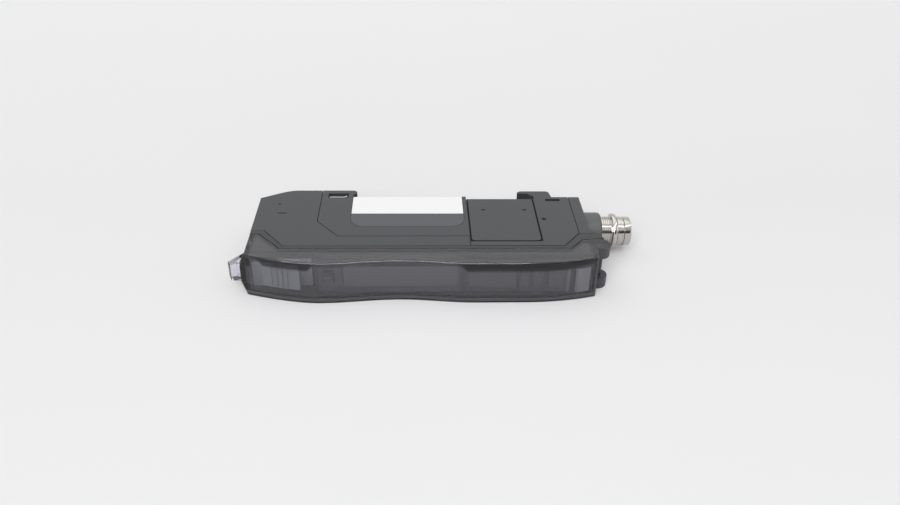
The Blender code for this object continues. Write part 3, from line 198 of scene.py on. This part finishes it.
# Textured ABS: the soft boxes spread to an even sheen on it, and the grain keeps that sheen dull
housing_plastic = moulded_plastic("satin_abs_housing", HOUSING_GREY, ABS_ROUGHNESS, MOULD_GRAIN_MM, 0.25)
# Painted shade: edges that meet in a seam see no light, so their bevels are painted near black to read as a
# thin dark line
seam_shade_paint = moulded_plastic("shaded_parting_line", SEAM_SHADE, 0.7, MOULD_GRAIN_MM, 0.1, specular=0.1)
finish_node("main_case", housing_plastic, CASE_EDGE_MM)
finish_node("side_cover", housing_plastic, SIDE_COVER_EDGE_MM, seam_shade_paint)
finish_node("expansion_cover", housing_plastic, EXPANSION_COVER_EDGE_MM, seam_shade_paint)


# Rating label: a laminated polyester film stuck in a shallow recess of the side cover, with a white field
# towards the rail and a field printed grey towards the keys. Both fields stay bare.
LABEL_WHITE = "#f5f5f6"
LABEL_GREY = "#484b4f"
GREY_FIELD_END_MM = 4.76
FILM_MOTTLE_MM = 2.0

# Printed polyester film: bright, flat colours under a thin satin varnish
made, shader = new_material("label_film")
place = add(made, "ShaderNodeTexCoord").outputs["Object"]
axes = add(made, "ShaderNodeSeparateXYZ", links={"Vector": place})
white_side = add(made, "ShaderNodeMath", {"operation": "GREATER_THAN"}, {1: GREY_FIELD_END_MM * MM},
                 {0: axes.outputs["Y"]})
mottle = add(made, "ShaderNodeTexNoise", inputs={"Scale": 1 / (FILM_MOTTLE_MM * MM), "Detail": 3.0},
             links={"Vector": place})
shader.inputs["Base Color"].default_value = linear(shade(LABEL_GREY, 0.97))
overlay(made, mottle.outputs["Fac"], shade(LABEL_GREY, 1.03))
overlay(made, white_side.outputs[0], LABEL_WHITE)
sheen = add(made, "ShaderNodeMapRange", inputs={"To Min": 0.32, "To Max": 0.42},
            links={"Value": mottle.outputs["Fac"]})
made.node_tree.links.new(sheen.outputs["Result"], shader.inputs["Roughness"])
finish_node("rating_label", made)


# Front frame: the moulded bezel between housing and dust cover, in the same grain but a touch darker. Its
# flush strip shows as a line between two parting lines, and its face carries the keys and the display.
FRAME_GREY = "#313235"
# Near black painted into the recesses as shade
RECESS_SHADE = "#1c1c1d"
PANEL_FRONT_Y = 2.0
PANEL_Z = (0.9, 7.05)
# Fields of the panel, each from left to right and as deep in y as it goes: the whole panel, the lever's step,
# the ribs beside the keys and the plate at the connector end, which is left bare. All are painted paler than
# the frame's grey, as painted light
PANEL_FIELDS = [
    (-2.0, 67.0, 4.5, "#666669"),
    (-2.0, 13.4, 6.6, "#b2b2b5"),
    (13.4, 14.9, 4.5, "#505053"),
    (44.0, 45.6, 4.5, "#57575a"),
    (55.5, 56.6, 4.5, "#57575a"),
    (66.2, 66.8, 4.5, "#88888b"),
    (67.0, 67.9, 4.5, "#454547"),
    (68.0, 71.0, 3.2, "#b6b6b8")]
# Recesses above those fields, from left to right, which hardly any light reaches: they are painted near black
# as painted shade
RECESSES = [(0.5, 16.0), (43.0, 72.1)]
RECESS_Y, RECESS_Z = (2.85, 4.4), (7.5, 8.7)

# The same textured ABS: the panel is seen through the smoked cover, so its fields are painted paler than the
# ABS's own grey, as painted light
frame_plastic = moulded_plastic("satin_abs_frame", FRAME_GREY, ABS_ROUGHNESS, MOULD_GRAIN_MM, 0.25)
for left, right, rear, colour in PANEL_FIELDS:
    field = inside_box(frame_plastic, (left, PANEL_FRONT_Y, PANEL_Z[0]), (right, rear, PANEL_Z[1]))
    overlay(frame_plastic, field, colour)
for left, right in RECESSES:
    recess = inside_box(frame_plastic, (left, RECESS_Y[0], RECESS_Z[0]), (right, RECESS_Y[1], RECESS_Z[1]))
    overlay(frame_plastic, recess, RECESS_SHADE)
finish_node("front_frame", frame_plastic, CASE_EDGE_MM, seam_shade_paint)


# Keys, selector and lever: small ABS mouldings with a finer grain than the housing. Each one lies loose
# in its hole in the frame and is held from behind by the switch or the clamp that it works.
KEY_GREY, LEVER_GREY = "#6d6d70", "#b2b2b5"
KEY_GRAIN_MM = 0.06
KEY_EDGE_MM = 0.06

# Fine-grained ABS: smoother than the housing, with soft bright edges
key_plastic = moulded_plastic("key_abs", KEY_GREY, ABS_ROUGHNESS, KEY_GRAIN_MM, 0.1)
lever_plastic = moulded_plastic("lever_abs", LEVER_GREY, ABS_ROUGHNESS, KEY_GRAIN_MM, 0.1)
for name in ("set_button", "up_button", "down_button", "mode_button", "output_selector"):
    finish_node(name, key_plastic, KEY_EDGE_MM)
finish_node("fibre_lock_lever", lever_plastic, KEY_EDGE_MM)


# Black pieces: the connector's insert, the fibre bushes and their block, the socket, the switches and the
# display cases. They are moulded in black nylon and are pressed into the case or soldered to the board.
NYLON_BLACK = "#37383a"
NYLON_GRAIN_MM = 0.12

# Moulded nylon: a near black with a dull skin that catches a little of the soft boxes
black_nylon = moulded_plastic("black_nylon", NYLON_BLACK, 0.4, NYLON_GRAIN_MM, 0.2)
for name in ("m8_insert", "fibre_bush_emitter", "fibre_bush_receiver", "optical_block", "expansion_socket",
             "set_switch", "up_switch", "down_switch", "mode_switch", "selector_switch", "display_left",
             "display_right"):
    finish_node(name, black_nylon)


# Circuit board: a milled glass-epoxy laminate that lies flat on six bosses of the case, with a tongue that
# reaches to the panel. It carries the displays, the switches, the diodes and the socket.
RESIST_GREEN, WEAVE_GREEN = "#1f5c34", "#23663a"
WEAVE_MM = 0.5

# Green solder resist over woven glass: glossy, with the weave just showing
made, shader = new_material("board_laminate")
place = add(made, "ShaderNodeTexCoord").outputs["Object"]
weave = add(made, "ShaderNodeTexChecker", links={"Vector": place},
            inputs={"Scale": 1 / (WEAVE_MM * MM),
                    "Color1": linear(RESIST_GREEN), "Color2": linear(WEAVE_GREEN)})
made.node_tree.links.new(weave.outputs["Color"], shader.inputs["Base Color"])
shader.inputs["Roughness"].default_value = 0.3
finish_node("main_board", made)


# Diodes and status light: dies cast in epoxy, one behind either fibre and one behind the lens. Their
# leads are soldered to the board.
EPOXY_DARK, EPOXY_PALE = "#b8bcc0", "#d2d5d8"
EPOXY_CLOUD_MM = 1.0

# Cast epoxy: pale, cloudy and glossy
made, shader = new_material("diode_epoxy")
place = add(made, "ShaderNodeTexCoord").outputs["Object"]
cloud = add(made, "ShaderNodeTexNoise", inputs={"Scale": 1 / (EPOXY_CLOUD_MM * MM)}, links={"Vector": place})
shader.inputs["Base Color"].default_value = linear(EPOXY_DARK)
overlay(made, cloud.outputs["Fac"], EPOXY_PALE)
shader.inputs["Roughness"].default_value = 0.12
for name in ("status_led", "emitter_led", "receiver_diode"):
    finish_node(name, made)


# Metal pieces: the connector shell is turned from brass and nickel-plated, its contacts are gold-plated
# pins pressed into the insert, and the leaf in the foot is bent from stainless strip. The shell's look
# follows its finely turned profile with broken edges.
NICKEL, STAINLESS, GOLD = "#bcb9b5", "#d5d5d5", "#d9b25c"
TURNING_MM, ROLLING_MM = 1.2, 0.8
CONTACTS = 4
AXIS_Y, AXIS_Z = 20.9, 4.9
SHELL_BORE, SHELL_RADIUS = 2.5, 3.25
GROOVES_X = (76.75, 77.2, 77.65, 78.1)
GROOVE_RADIUS = 3.12


def plated_metal(name, colour, roughness, grain_mm):
    """Plated or rolled metal: full metallic colour whose roughness varies in fine streaks round the piece."""
    made, shader = new_material(name)
    place = add(made, "ShaderNodeTexCoord").outputs["Object"]
    stretch = add(made, "ShaderNodeMapping", inputs={"Scale": (6.0, 1.0, 1.0)}, links={"Vector": place})
    streaks = add(made, "ShaderNodeTexNoise", inputs={"Scale": 1 / (grain_mm * MM), "Detail": 3.0},
                  links={"Vector": stretch.outputs["Vector"]})
    rough = add(made, "ShaderNodeMapRange", links={"Value": streaks.outputs["Fac"]},
                inputs={"To Min": roughness - 0.05, "To Max": roughness + 0.08})
    made.node_tree.links.new(rough.outputs["Result"], shader.inputs["Roughness"])
    shader.inputs["Base Color"].default_value = linear(colour)
    shader.inputs["Metallic"].default_value = 1.0
    return made


def make_mesh(name, points_mm, faces, made):
    """Object at the origin from an array of drawing points in millimetres and a list or array of faces."""
    mesh = bpy.data.meshes.new(name)
    points = (np.asarray(points_mm, dtype=float) - DRAWING_ORIGIN_MM) * MM
    mesh.from_pydata(points.tolist(), [], [list(face) for face in faces])
    mesh.validate()
    thing = bpy.data.objects.new(name, mesh)
    bpy.context.scene.collection.objects.link(thing)
    if made is not None:
        mesh.materials.append(made)
    return thing


def smooth_with_creases(thing, angle_deg):
    """Shades smooth but for edges sharper than an angle."""
    thing.data.shade_smooth()
    thing.data.set_sharp_from_angle(angle=math.radians(angle_deg))


def turned(name, profile, centre_y, centre_z, made, count=96):
    """Surface turned about a line along x: point (i, j) is (x_i, y + r_i cos a_j, z + r_i sin a_j)."""
    profile = np.array(profile)
    angle = np.linspace(0, 2 * math.pi, count, endpoint=False)
    x = np.repeat(profile[:, :1], count, axis=1)
    y = centre_y + profile[:, 1:] * np.cos(angle)
    z = centre_z + profile[:, 1:] * np.sin(angle)
    points = np.stack([x, y, z], axis=-1).reshape(-1, 3)
    i = np.arange(len(profile))[:, None]
    j = np.arange(count)[None, :]
    after_i = (i + 1) % len(profile)
    after_j = (j + 1) % count
    faces = np.stack([i * count + j, i * count + after_j,
                      after_i * count + after_j, after_i * count + j], axis=-1)
    thing = make_mesh(name, points, faces.reshape(-1, 4).tolist(), made)
    smooth_with_creases(thing, 30)
    return thing


# Nickel plate over turned brass: a warm mirror that is drawn out in streaks along the turning marks
nickel = plated_metal("nickel_plate", NICKEL, 0.13, TURNING_MM)
tail = [(71.3, SHELL_BORE), (71.3, 3.0), (76.3, 3.0), (76.3, 3.18), (76.37, SHELL_RADIUS)]
grooves = []
for x in GROOVES_X:
    grooves += [(x - 0.09, SHELL_RADIUS), (x - 0.04, GROOVE_RADIUS),
                (x + 0.04, GROOVE_RADIUS), (x + 0.09, SHELL_RADIUS)]
relief_before = [(78.32, SHELL_RADIUS), (78.4, 3.17), (78.4, 3.05), (78.7, 3.05)]
flange = [(78.7, 3.83), (78.73, 3.91), (78.82, 3.95), (79.48, 3.95), (79.57, 3.91), (79.6, 3.83)]
relief_after = [(79.6, 3.05), (79.9, 3.05), (79.9, 3.17), (79.98, SHELL_RADIUS)]
latch_groove = [(80.97, SHELL_RADIUS), (81.0, 3.2), (81.0, 3.0), (81.05, 2.95),
                (81.4, 2.95), (81.45, 3.0), (81.45, 3.2), (81.48, SHELL_RADIUS)]
mouth = [(82.7, SHELL_RADIUS), (82.82, 3.22), (82.97, 3.04), (83.0, 2.95), (83.0, 2.6), (82.9, SHELL_BORE)]
shell_profile = tail + grooves + relief_before + flange + relief_after + latch_groove + mouth
shell = turned("m8_shell_turned", shell_profile[::-1], AXIS_Y, AXIS_Z, nickel)
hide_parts("m8_shell")
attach(shell, "housing")

# Rolled stainless strip and gold plate: both are satin, so they glint over a wide angle
leaf_steel = plated_metal("stainless_leaf", STAINLESS, 0.25, ROLLING_MM)
finish_node("rail_spring", leaf_steel)
gold = plated_metal("gold_plate", GOLD, 0.25, ROLLING_MM)
for number in range(1, CONTACTS + 1):
    finish_node("contact_pin_%d" % number, gold)


# Connector collar: a black nylon ring round the shell, moulded with a rounded front edge. It seats on the
# case's end wall and seals the shell there.
# The collar's grey is painted lighter than the other black nylon, as painted light
COLLAR_LIT_GREY = "#565757"
COLLAR_START, COLLAR_END = 72.35, 76.2
COLLAR_BORE, COLLAR_RADIUS, COLLAR_EDGE = 3.02, 4.2, 0.5

# Moulded nylon with a semi-gloss skin, painted lighter than the other black pieces as painted light, since it
# faces the soft boxes
collar_nylon_lit = moulded_plastic("collar_nylon_lit", COLLAR_LIT_GREY, 0.36, NYLON_GRAIN_MM, 0.15)
collar_back = [(COLLAR_START, COLLAR_BORE), (COLLAR_START, COLLAR_RADIUS - 0.1),
               (COLLAR_START + 0.1, COLLAR_RADIUS)]
collar_edge = [(COLLAR_END - COLLAR_EDGE + COLLAR_EDGE * math.sin(a),
                COLLAR_RADIUS - COLLAR_EDGE * (1 - math.cos(a))) for a in np.linspace(0, math.pi / 2, 7)]
collar_profile = collar_back + collar_edge + [(COLLAR_END, COLLAR_BORE)]
collar = turned("connector_collar_turned", collar_profile[::-1], AXIS_Y, AXIS_Z, collar_nylon_lit)
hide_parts("connector_collar")
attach(collar, "housing")


# Dust cover and display window: polycarbonate tinted smoke grey and polished in the mould. The cover is
# one thin shell with a wavy face, rounded edges, an open back and two ears that turn on the frame's pins.
SMOKE, WINDOW_GREY = "#cbcbd1", "#808083"
# Painted shade and light on the cover: a dark grey for its rear edges and ears, a lighter grey for its floor,
# a deeper tint for its end wall
MATT_SHADE_SMOKE, SATIN_LIT_SMOKE, END_SHADE_SMOKE = "#424146", "#4b4b4e", "#403f43"
# Darker patches painted on the cover's face and ends; those on its ends are painted shade
CORNER_DARK, SHADE_AT_FIBRE_END, SHADE_AT_REAR_END = "#1a1a1c", "#3f3e42", "#55545a"
RIPPLE_MM = 6.0
RIPPLE_DEPTH_MM = 0.03
CLEAR_IOR = 1.45
COVER_WIDTH, COVER_WALL, COVER_FACE_WALL = 9.8, 1.0, 0.8
COVER_EDGE, COVER_FOOT_EDGE = 0.6, 0.15
COVER_LEFT, COVER_RIGHT, COVER_BACK = 0.1, 72.5, 11.5
BULGE, BULGE_HEIGHT = 1.2, 3.0
LEFT_SWEEP_X, VALLEY_X, CREST_X, RIGHT_SWEEP_X = 14.8, 31.7, 47.3, 57.3
LEFT_SWEEP, VALLEY, RIGHT_SWEEP = 3.7, 1.2, 2.15
LEFT_SWEEP_REACH = 15.7
HINGE_X, HINGE_Y, EAR = 73.5, 7.2, 2.15
PIN_HOLE_RADIUS = 0.75
PIN_HOLE_Z = (1.15, 8.65)
EAR_GAP_Z = (2.4, 7.4)
LENS_NOTCH_Z = (2.25, 7.5)
FACE_STEPS = 161


def tinted_clear(name, colour, roughness, ior, haze=0.0):
    """Clear moulded plastic: light goes through tinted by the colour, over faint ripples of the mould."""
    made, shader = new_material(name)
    place = add(made, "ShaderNodeTexCoord").outputs["Object"]
    ripple = add(made, "ShaderNodeTexNoise", inputs={"Scale": 1 / (RIPPLE_MM * MM), "Detail": 1.0},
                 links={"Vector": place})
    relief = add(made, "ShaderNodeBump", inputs={"Strength": 0.03, "Distance": RIPPLE_DEPTH_MM * MM},
                 links={"Height": ripple.outputs["Fac"]})
    made.node_tree.links.new(relief.outputs["Normal"], shader.inputs["Normal"])
    shader.inputs["Base Color"].default_value = linear(colour)
    shader.inputs["Roughness"].default_value = roughness
    shader.inputs["IOR"].default_value = ior
    shader.inputs["Transmission Weight"].default_value = 1.0 - haze
    return made


def front_line(x):
    """Face of the cover, y over x: a cosine valley between two bulges, a power curve back at either end."""
    left = LEFT_SWEEP * (np.clip(LEFT_SWEEP_X - x, 0, None) / LEFT_SWEEP_REACH) ** 1.6
    falls = VALLEY / 2 * (1 - np.cos(math.pi * np.clip((x - LEFT_SWEEP_X) / (VALLEY_X - LEFT_SWEEP_X), 0, 1)))
    rises = VALLEY / 2 * (1 - np.cos(math.pi * np.clip((x - VALLEY_X) / (CREST_X - VALLEY_X), 0, 1)))
    right = RIGHT_SWEEP * (np.clip(x - RIGHT_SWEEP_X, 0, None) / (COVER_RIGHT - RIGHT_SWEEP_X)) ** 2.1
    return left + falls - rises + right


def cover_outline(z, drop):
    """Outline at height z: face line moved back by a drop, half circle for the ears, sloped rear edge."""
    left = COVER_LEFT - BULGE * min(1.0, min(z, COVER_WIDTH - z) / BULGE_HEIGHT)
    x = np.linspace(left, COVER_RIGHT, FACE_STEPS)
    turn = np.linspace(-math.pi / 2, math.pi / 2, 25)
    ear = np.column_stack([HINGE_X + EAR * np.cos(turn), HINGE_Y + EAR * np.sin(turn)])
    rear = [(70.1, 8.9), (67.25, 5.55), (6.9, 5.55), (1.8, COVER_BACK), (left, COVER_BACK)]
    face = np.column_stack([x, front_line(x) + drop])
    flat = np.vstack([face, [(HINGE_X - 0.9, HINGE_Y - EAR)], ear, rear])
    return np.column_stack([flat, np.full(len(flat), z)])


def loft(name, rings, made=None):
    """Closed solid through equal rings of points: sides from ring i to i + 1, and a cap at either end."""
    rings = np.asarray(rings)
    count = rings.shape[1]
    i = np.arange(len(rings) - 1)[:, None] * count
    j = np.arange(count)[None, :]
    after = (j + 1) % count
    sides = np.stack([i + j, i + after, i + count + after, i + count + j], axis=-1).reshape(-1, 4)
    last = (len(rings) - 1) * count
    caps = [list(range(count))[::-1], list(range(last, last + count))]
    return make_mesh(name, rings.reshape(-1, 3), sides.tolist() + caps, made)


def prism(name, outline, low, high):
    """Closed upright prism over an outline."""
    flat = np.asarray(outline, dtype=float)
    return loft(name, [np.column_stack([flat, np.full(len(flat), z)]) for z in (low, high)])


def carve(thing, cutters):
    """Takes closed solids out of a mesh and keeps only the result."""
    for cutter in cutters:
        step = thing.modifiers.new("Cut", "BOOLEAN")
        step.operation = "DIFFERENCE"
        step.solver = "EXACT"
        step.object = cutter
    carved = bpy.data.meshes.new_from_object(thing.evaluated_get(bpy.context.evaluated_depsgraph_get()))
    thing.modifiers.clear()
    thing.data = carved
    for cutter in cutters:
        bpy.data.objects.remove(cutter)


# Smoked polycarbonate: light passes it twice, so what is behind looks dim, and it mirrors the lights
smoked = tinted_clear("smoked_polycarbonate", SMOKE, 0.03, CLEAR_IOR, haze=0.03)
# Painted shade: the rear of the cover's fibre end is tinted darker
overlay(smoked, inside_box(smoked, (-1.3, 5.5, -0.1), (0.75, 12.0, 9.9)), SHADE_AT_REAR_END)
# The window's sheet is dyed so deep that it hardly lets light through
finish_node("display_window", tinted_clear("smoked_window", WINDOW_GREY, 0.1, CLEAR_IOR, haze=0.9))

arc = np.linspace(0, math.pi / 2, 7)
heights = [(COVER_FOOT_EDGE * (1 - math.cos(a)), COVER_FOOT_EDGE * (1 - math.sin(a))) for a in arc[::2]]
heights += [(0.5, 0.0), (1.2, 0.0), (BULGE_HEIGHT, 0.0), (COVER_WIDTH - BULGE_HEIGHT, 0.0)]
heights += [(COVER_WIDTH - COVER_EDGE * (1 - math.cos(a)), COVER_EDGE * (1 - math.sin(a)))
            for a in arc[::-1]]
cover = loft("dust_cover_moulded", [cover_outline(z, drop) for z, drop in heights], smoked)
inner_x = np.linspace(COVER_WALL, COVER_RIGHT - COVER_WALL, FACE_STEPS)
inner_right = COVER_RIGHT - COVER_WALL
inside = np.vstack([np.column_stack([inner_x, front_line(inner_x) + COVER_FACE_WALL]),
                    [(inner_right, COVER_BACK + 3), (COVER_WALL, COVER_BACK + 3)]])
swing = np.linspace(0, math.pi / 2, 13)
swing_room = np.array([(HINGE_X - EAR * math.cos(a), HINGE_Y + EAR * math.sin(a)) for a in swing]
                      + [(HINGE_X, COVER_BACK), (inner_right - 1.0, COVER_BACK),
                         (inner_right - 1.0, HINGE_Y)])
between_ears = [(70.5, 4.7), (76.65, 4.7), (76.65, COVER_BACK), (70.5, COVER_BACK)]
lens_notch = [(-4.0, 4.4), (1.5, 4.4), (1.5, 13.5), (-4.0, 13.5)]
turn = np.linspace(0, 2 * math.pi, 32, endpoint=False)
pin_hole = np.column_stack([HINGE_X + PIN_HOLE_RADIUS * np.cos(turn),
                            HINGE_Y + PIN_HOLE_RADIUS * np.sin(turn)])
carve(cover, [
    prism("cut_inside", inside, COVER_WALL, COVER_WIDTH - COVER_WALL),
    prism("cut_swing_room", swing_room[::-1], COVER_WALL, COVER_WIDTH - COVER_WALL),
    prism("cut_between_ears", between_ears, *EAR_GAP_Z),
    prism("cut_lens_notch", lens_notch, *LENS_NOTCH_Z),
    prism("cut_pin_holes", pin_hole, *PIN_HOLE_Z)])

# The recesses over the keys are painted on the cover's face as a dark band of painted shade under its top
# edge. The band is deepest at the bulges, and each ramp below says from which x to which x it comes or goes
BAND_SHADE = "#2f2f32"
BAND_TOP_MM, BAND_DEPTH_MM, BAND_SOFT_MM = 9.45, 2.1, 0.6
BAND_RAMPS = [(2.6, 3.8, 0.0, 0.9), (13.0, 15.0, 1.0, 0.0), (43.2, 45.4, 0.0, 1.0), (66.0, 72.5, 1.0, 0.5)]
face_smoke_shaded = tinted_clear("smoked_face", SMOKE, 0.03, CLEAR_IOR, haze=0.03)
axes = add(face_smoke_shaded, "ShaderNodeSeparateXYZ",
           links={"Vector": add(face_smoke_shaded, "ShaderNodeTexCoord").outputs["Object"]})
ramps = []
for start, end, first, last in BAND_RAMPS:
    limits = {"From Min": (start - DRAWING_ORIGIN_MM[0]) * MM, "From Max": (end - DRAWING_ORIGIN_MM[0]) * MM,
              "To Min": first, "To Max": last}
    ramp = add(face_smoke_shaded, "ShaderNodeMapRange", inputs=limits, links={"Value": axes.outputs["X"]})
    ramps.append(ramp.outputs["Result"])
left_band = add(face_smoke_shaded, "ShaderNodeMath", {"operation": "MULTIPLY"}, links={0: ramps[0], 1: ramps[1]})
right_band = add(face_smoke_shaded, "ShaderNodeMath", {"operation": "MULTIPLY"}, links={0: ramps[2], 1: ramps[3]})
depth = add(face_smoke_shaded, "ShaderNodeMath", {"operation": "MAXIMUM"},
            links={0: left_band.outputs[0], 1: right_band.outputs[0]})
height = add(face_smoke_shaded, "ShaderNodeMath", {"operation": "MULTIPLY_ADD"},
             {1: BAND_DEPTH_MM * MM, 2: -BAND_TOP_MM * MM}, {0: depth.outputs[0]})
above = add(face_smoke_shaded, "ShaderNodeMath", {"operation": "ADD"},
            links={0: axes.outputs["Z"], 1: height.outputs[0]})
band = add(face_smoke_shaded, "ShaderNodeMapRange", inputs={"From Min": 0.0, "From Max": BAND_SOFT_MM * MM},
           links={"Value": above.outputs[0]})
overlay(face_smoke_shaded, band.outputs["Result"], BAND_SHADE)
overlay(face_smoke_shaded, inside_box(face_smoke_shaded, (0.3, -1.0, 7.3), (1.2, 6.0, 9.2)), CORNER_DARK)
# Painted shade: the fibre end of the cover is darkened
overlay(face_smoke_shaded, inside_box(face_smoke_shaded, (-1.3, -1.0, -0.1), (0.1, 12.0, 9.9)), SHADE_AT_FIBRE_END)

# The same plastic, painted: rear edges, ears and the outer end wall come matt and opaque in a dark grey of
# painted shade, the floor of the shell and the low strip of its face come satin and almost opaque in a grey
# of painted light, and the end wall, seen edge on, is tinted deeper as painted shade
matt_shaded_edge = moulded_plastic("smoked_matt_edge", MATT_SHADE_SMOKE, 0.5, 0.1, 0.1)
satin_floor_lit = tinted_clear("smoked_satin", SATIN_LIT_SMOKE, 0.2, CLEAR_IOR, haze=0.9)
end_smoke_shaded = tinted_clear("smoked_end", END_SHADE_SMOKE, 0.05, CLEAR_IOR, haze=0.15)
for finish in (face_smoke_shaded, matt_shaded_edge, satin_floor_lit, end_smoke_shaded):
    cover.data.materials.append(finish)
centres = np.empty(3 * len(cover.data.polygons), dtype=np.float32)
normals = np.empty_like(centres)
cover.data.polygons.foreach_get("center", centres)
cover.data.polygons.foreach_get("normal", normals)
centres = centres.reshape(-1, 3).astype(float) / MM + DRAWING_ORIGIN_MM
normals = normals.reshape(-1, 3).astype(float)
on_face = (np.abs(centres[:, 1] - front_line(centres[:, 0])) < 0.06) & (normals[:, 1] < -0.3)
on_rear = (centres[:, 1] > 5.0) & (np.abs(normals[:, 2]) < 0.5) & (normals[:, 1] > 0.2)
on_ear = centres[:, 0] > COVER_RIGHT - 0.6
on_floor = (np.abs(centres[:, 2] - COVER_WALL) < 0.05) & (normals[:, 2] > 0.5)
on_floor = on_floor | (on_face & (centres[:, 2] > 0.5) & (centres[:, 2] < 1.2))
on_end = (centres[:, 0] < 1.4) & (np.abs(normals[:, 0]) > 0.5)
on_outer_end = on_end & (normals[:, 0] < -0.5) & (centres[:, 1] > 4.4)
finishes = np.select([on_ear | on_rear | on_outer_end, on_floor, on_face, on_end], [2, 3, 1, 4], 0)
cover.data.polygons.foreach_set("material_index", finishes.astype(np.int32))
smooth_with_creases(cover, 30)
even = cover.modifiers.new("Even faces", "WEIGHTED_NORMAL")
even.keep_sharp = True
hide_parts("dust_cover")
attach(cover, "dust_cover")


# Indicator lens: a hollow light guide moulded in clear acrylic, which shows the output state round the
# corner. It is set into the end of the frame, so its root stands in the shade of the housing, and that shade
# is painted on its root as a dark tint.
# The lens's edge and root colours are painted shade
ACRYLIC_CLEAR, ACRYLIC_EDGE_SHADE, ACRYLIC_ROOT_SHADE = "#f1f0f6", "#a9a8ae", "#4b4a4f"
LENS_EDGE_MM = 0.09
THIN_WALL_IOR = 1.2

# Thin clear acrylic: it bends what is behind only a little, and its edges are given a darker tint, painted
# shade for how they look darker than its walls
lens_edge_shaded = tinted_clear("acrylic_edge", ACRYLIC_EDGE_SHADE, 0.05, THIN_WALL_IOR)
clear_acrylic = tinted_clear("clear_acrylic", ACRYLIC_CLEAR, 0.02, THIN_WALL_IOR)
for finish in (clear_acrylic, lens_edge_shaded):
    overlay(finish, inside_box(finish, (-1.2, 3.0, 2.0), (1.2, 13.0, 9.9)), ACRYLIC_ROOT_SHADE)
finish_node("indicator_lens", clear_acrylic, LENS_EDGE_MM, lens_edge_shaded)


# Stage: a pale seamless sheet of paper as the floor, a wide soft box overhead, a stronger one in front and
# a narrow one for the glint on the cover's edge, all in an even white room.
# The paper's far colour is painted light
PAPER_DARK, PAPER_PALE, PAPER_FAR_LIT = "#ebebec", "#eeeeef", "#ffffff"
FLOOR_REACH = 3.0
SWEEP_START, SWEEP_END = 0.03, 0.3
ROOM_LIGHT, ROOM_WHITE = 0.29, 0.9
SOFT_BOXES = [
    ("soft_box_above", (-0.25, 0.45, 1.5), 2.0, 1.6, 7.0),
    ("soft_box_front", (-0.3, -1.25, 1.15), 1.3, 1.0, 21.0),
    ("strip_box", (0.3, -0.36, 0.95), 1.4, 0.07, 1.6)]
# The card mirrors the camera's place, in x, about a line near the mouth of the connector shell
CAMERA_CARD_SHARE, SHELL_X_MM = 0.9, 42.0
CAMERA_CARD_SIDE = 0.05
CAMERA_CARD_HEIGHTS = (-0.065, 0.015, 0.04, 0.06)

floor_mesh = bpy.data.meshes.new("floor")
floor_mesh.from_pydata([(-FLOOR_REACH, -FLOOR_REACH, 0), (FLOOR_REACH, -FLOOR_REACH, 0),
                        (FLOOR_REACH, FLOOR_REACH, 0), (-FLOOR_REACH, FLOOR_REACH, 0)], [], [(0, 1, 2, 3)])
floor = bpy.data.objects.new("floor", floor_mesh)
bpy.context.scene.collection.objects.link(floor)
# Matt paper, painted lighter to the rear as painted light, as a sheet that sweeps up behind the object looks
made, shader = new_material("floor_paper")
place = add(made, "ShaderNodeTexCoord").outputs["Object"]
mottle = add(made, "ShaderNodeTexNoise", inputs={"Scale": 9.0, "Detail": 2.0}, links={"Vector": place})
shader.inputs["Base Color"].default_value = linear(PAPER_DARK)
overlay(made, mottle.outputs["Fac"], PAPER_PALE)
axes = add(made, "ShaderNodeSeparateXYZ", links={"Vector": place})
sweep = add(made, "ShaderNodeMapRange", inputs={"From Min": SWEEP_START, "From Max": SWEEP_END},
            links={"Value": axes.outputs["Y"]})
overlay(made, sweep.outputs["Result"], PAPER_FAR_LIT)
shader.inputs["Roughness"].default_value = 0.9
shader.inputs["Specular IOR Level"].default_value = 0.0
floor_mesh.materials.append(made)

world = bpy.data.worlds.new("studio")
world.use_nodes = True
light_path = add(world, "ShaderNodeLightPath")
seen = add(world, "ShaderNodeMath", {"operation": "MAXIMUM"},
           links={0: light_path.outputs["Is Camera Ray"], 1: light_path.outputs["Is Glossy Ray"]})
seen_through = add(world, "ShaderNodeMath", {"operation": "MAXIMUM"},
                   links={0: seen.outputs[0], 1: light_path.outputs["Is Transmission Ray"]})
strength = add(world, "ShaderNodeMapRange", inputs={"To Min": ROOM_LIGHT, "To Max": ROOM_WHITE},
               links={"Value": seen_through.outputs[0]})
background = world.node_tree.nodes["Background"]
background.inputs["Color"].default_value = (1.0, 1.0, 1.0, 1.0)
world.node_tree.links.new(strength.outputs["Result"], background.inputs["Strength"])
bpy.context.scene.world = world

# The dark camera and its hood stand in front of the object, and only the polished shell shows them
card_mesh = bpy.data.meshes.new("camera_card")
corners = [(side, height, 0) for height in CAMERA_CARD_HEIGHTS
           for side in (-CAMERA_CARD_SIDE, CAMERA_CARD_SIDE)]
card_mesh.from_pydata(corners, [], [(0, 1, 3, 2), (4, 5, 7, 6)])
card = bpy.data.objects.new("camera_card", card_mesh)
card_place = Vector(CAMERA_PLACE_MM) * MM * CAMERA_CARD_SHARE
card_place.x = (2 * SHELL_X_MM - CAMERA_PLACE_MM[0]) * MM
card.matrix_world = Matrix.Translation(card_place) @ turned_camera
card.visible_camera = False
card.visible_diffuse = False
card.visible_shadow = False
card.visible_transmission = False
bpy.context.scene.collection.objects.link(card)
black_card, shader = new_material("black_card")
shader.inputs["Base Color"].default_value = (0.01, 0.01, 0.01, 1.0)
card_mesh.materials.append(black_card)

for name, place, width, depth, watts in SOFT_BOXES:
    light = bpy.data.lights.new(name, "AREA")
    light.shape = "RECTANGLE"
    light.size = width
    light.size_y = depth
    light.energy = watts
    lamp = bpy.data.objects.new(name, light)
    lamp.location = place
    lamp.rotation_euler = Vector(place).to_track_quat("Z", "Y").to_euler()
    bpy.context.scene.collection.objects.link(lamp)

bpy.context.scene.view_settings.view_transform = "Standard"
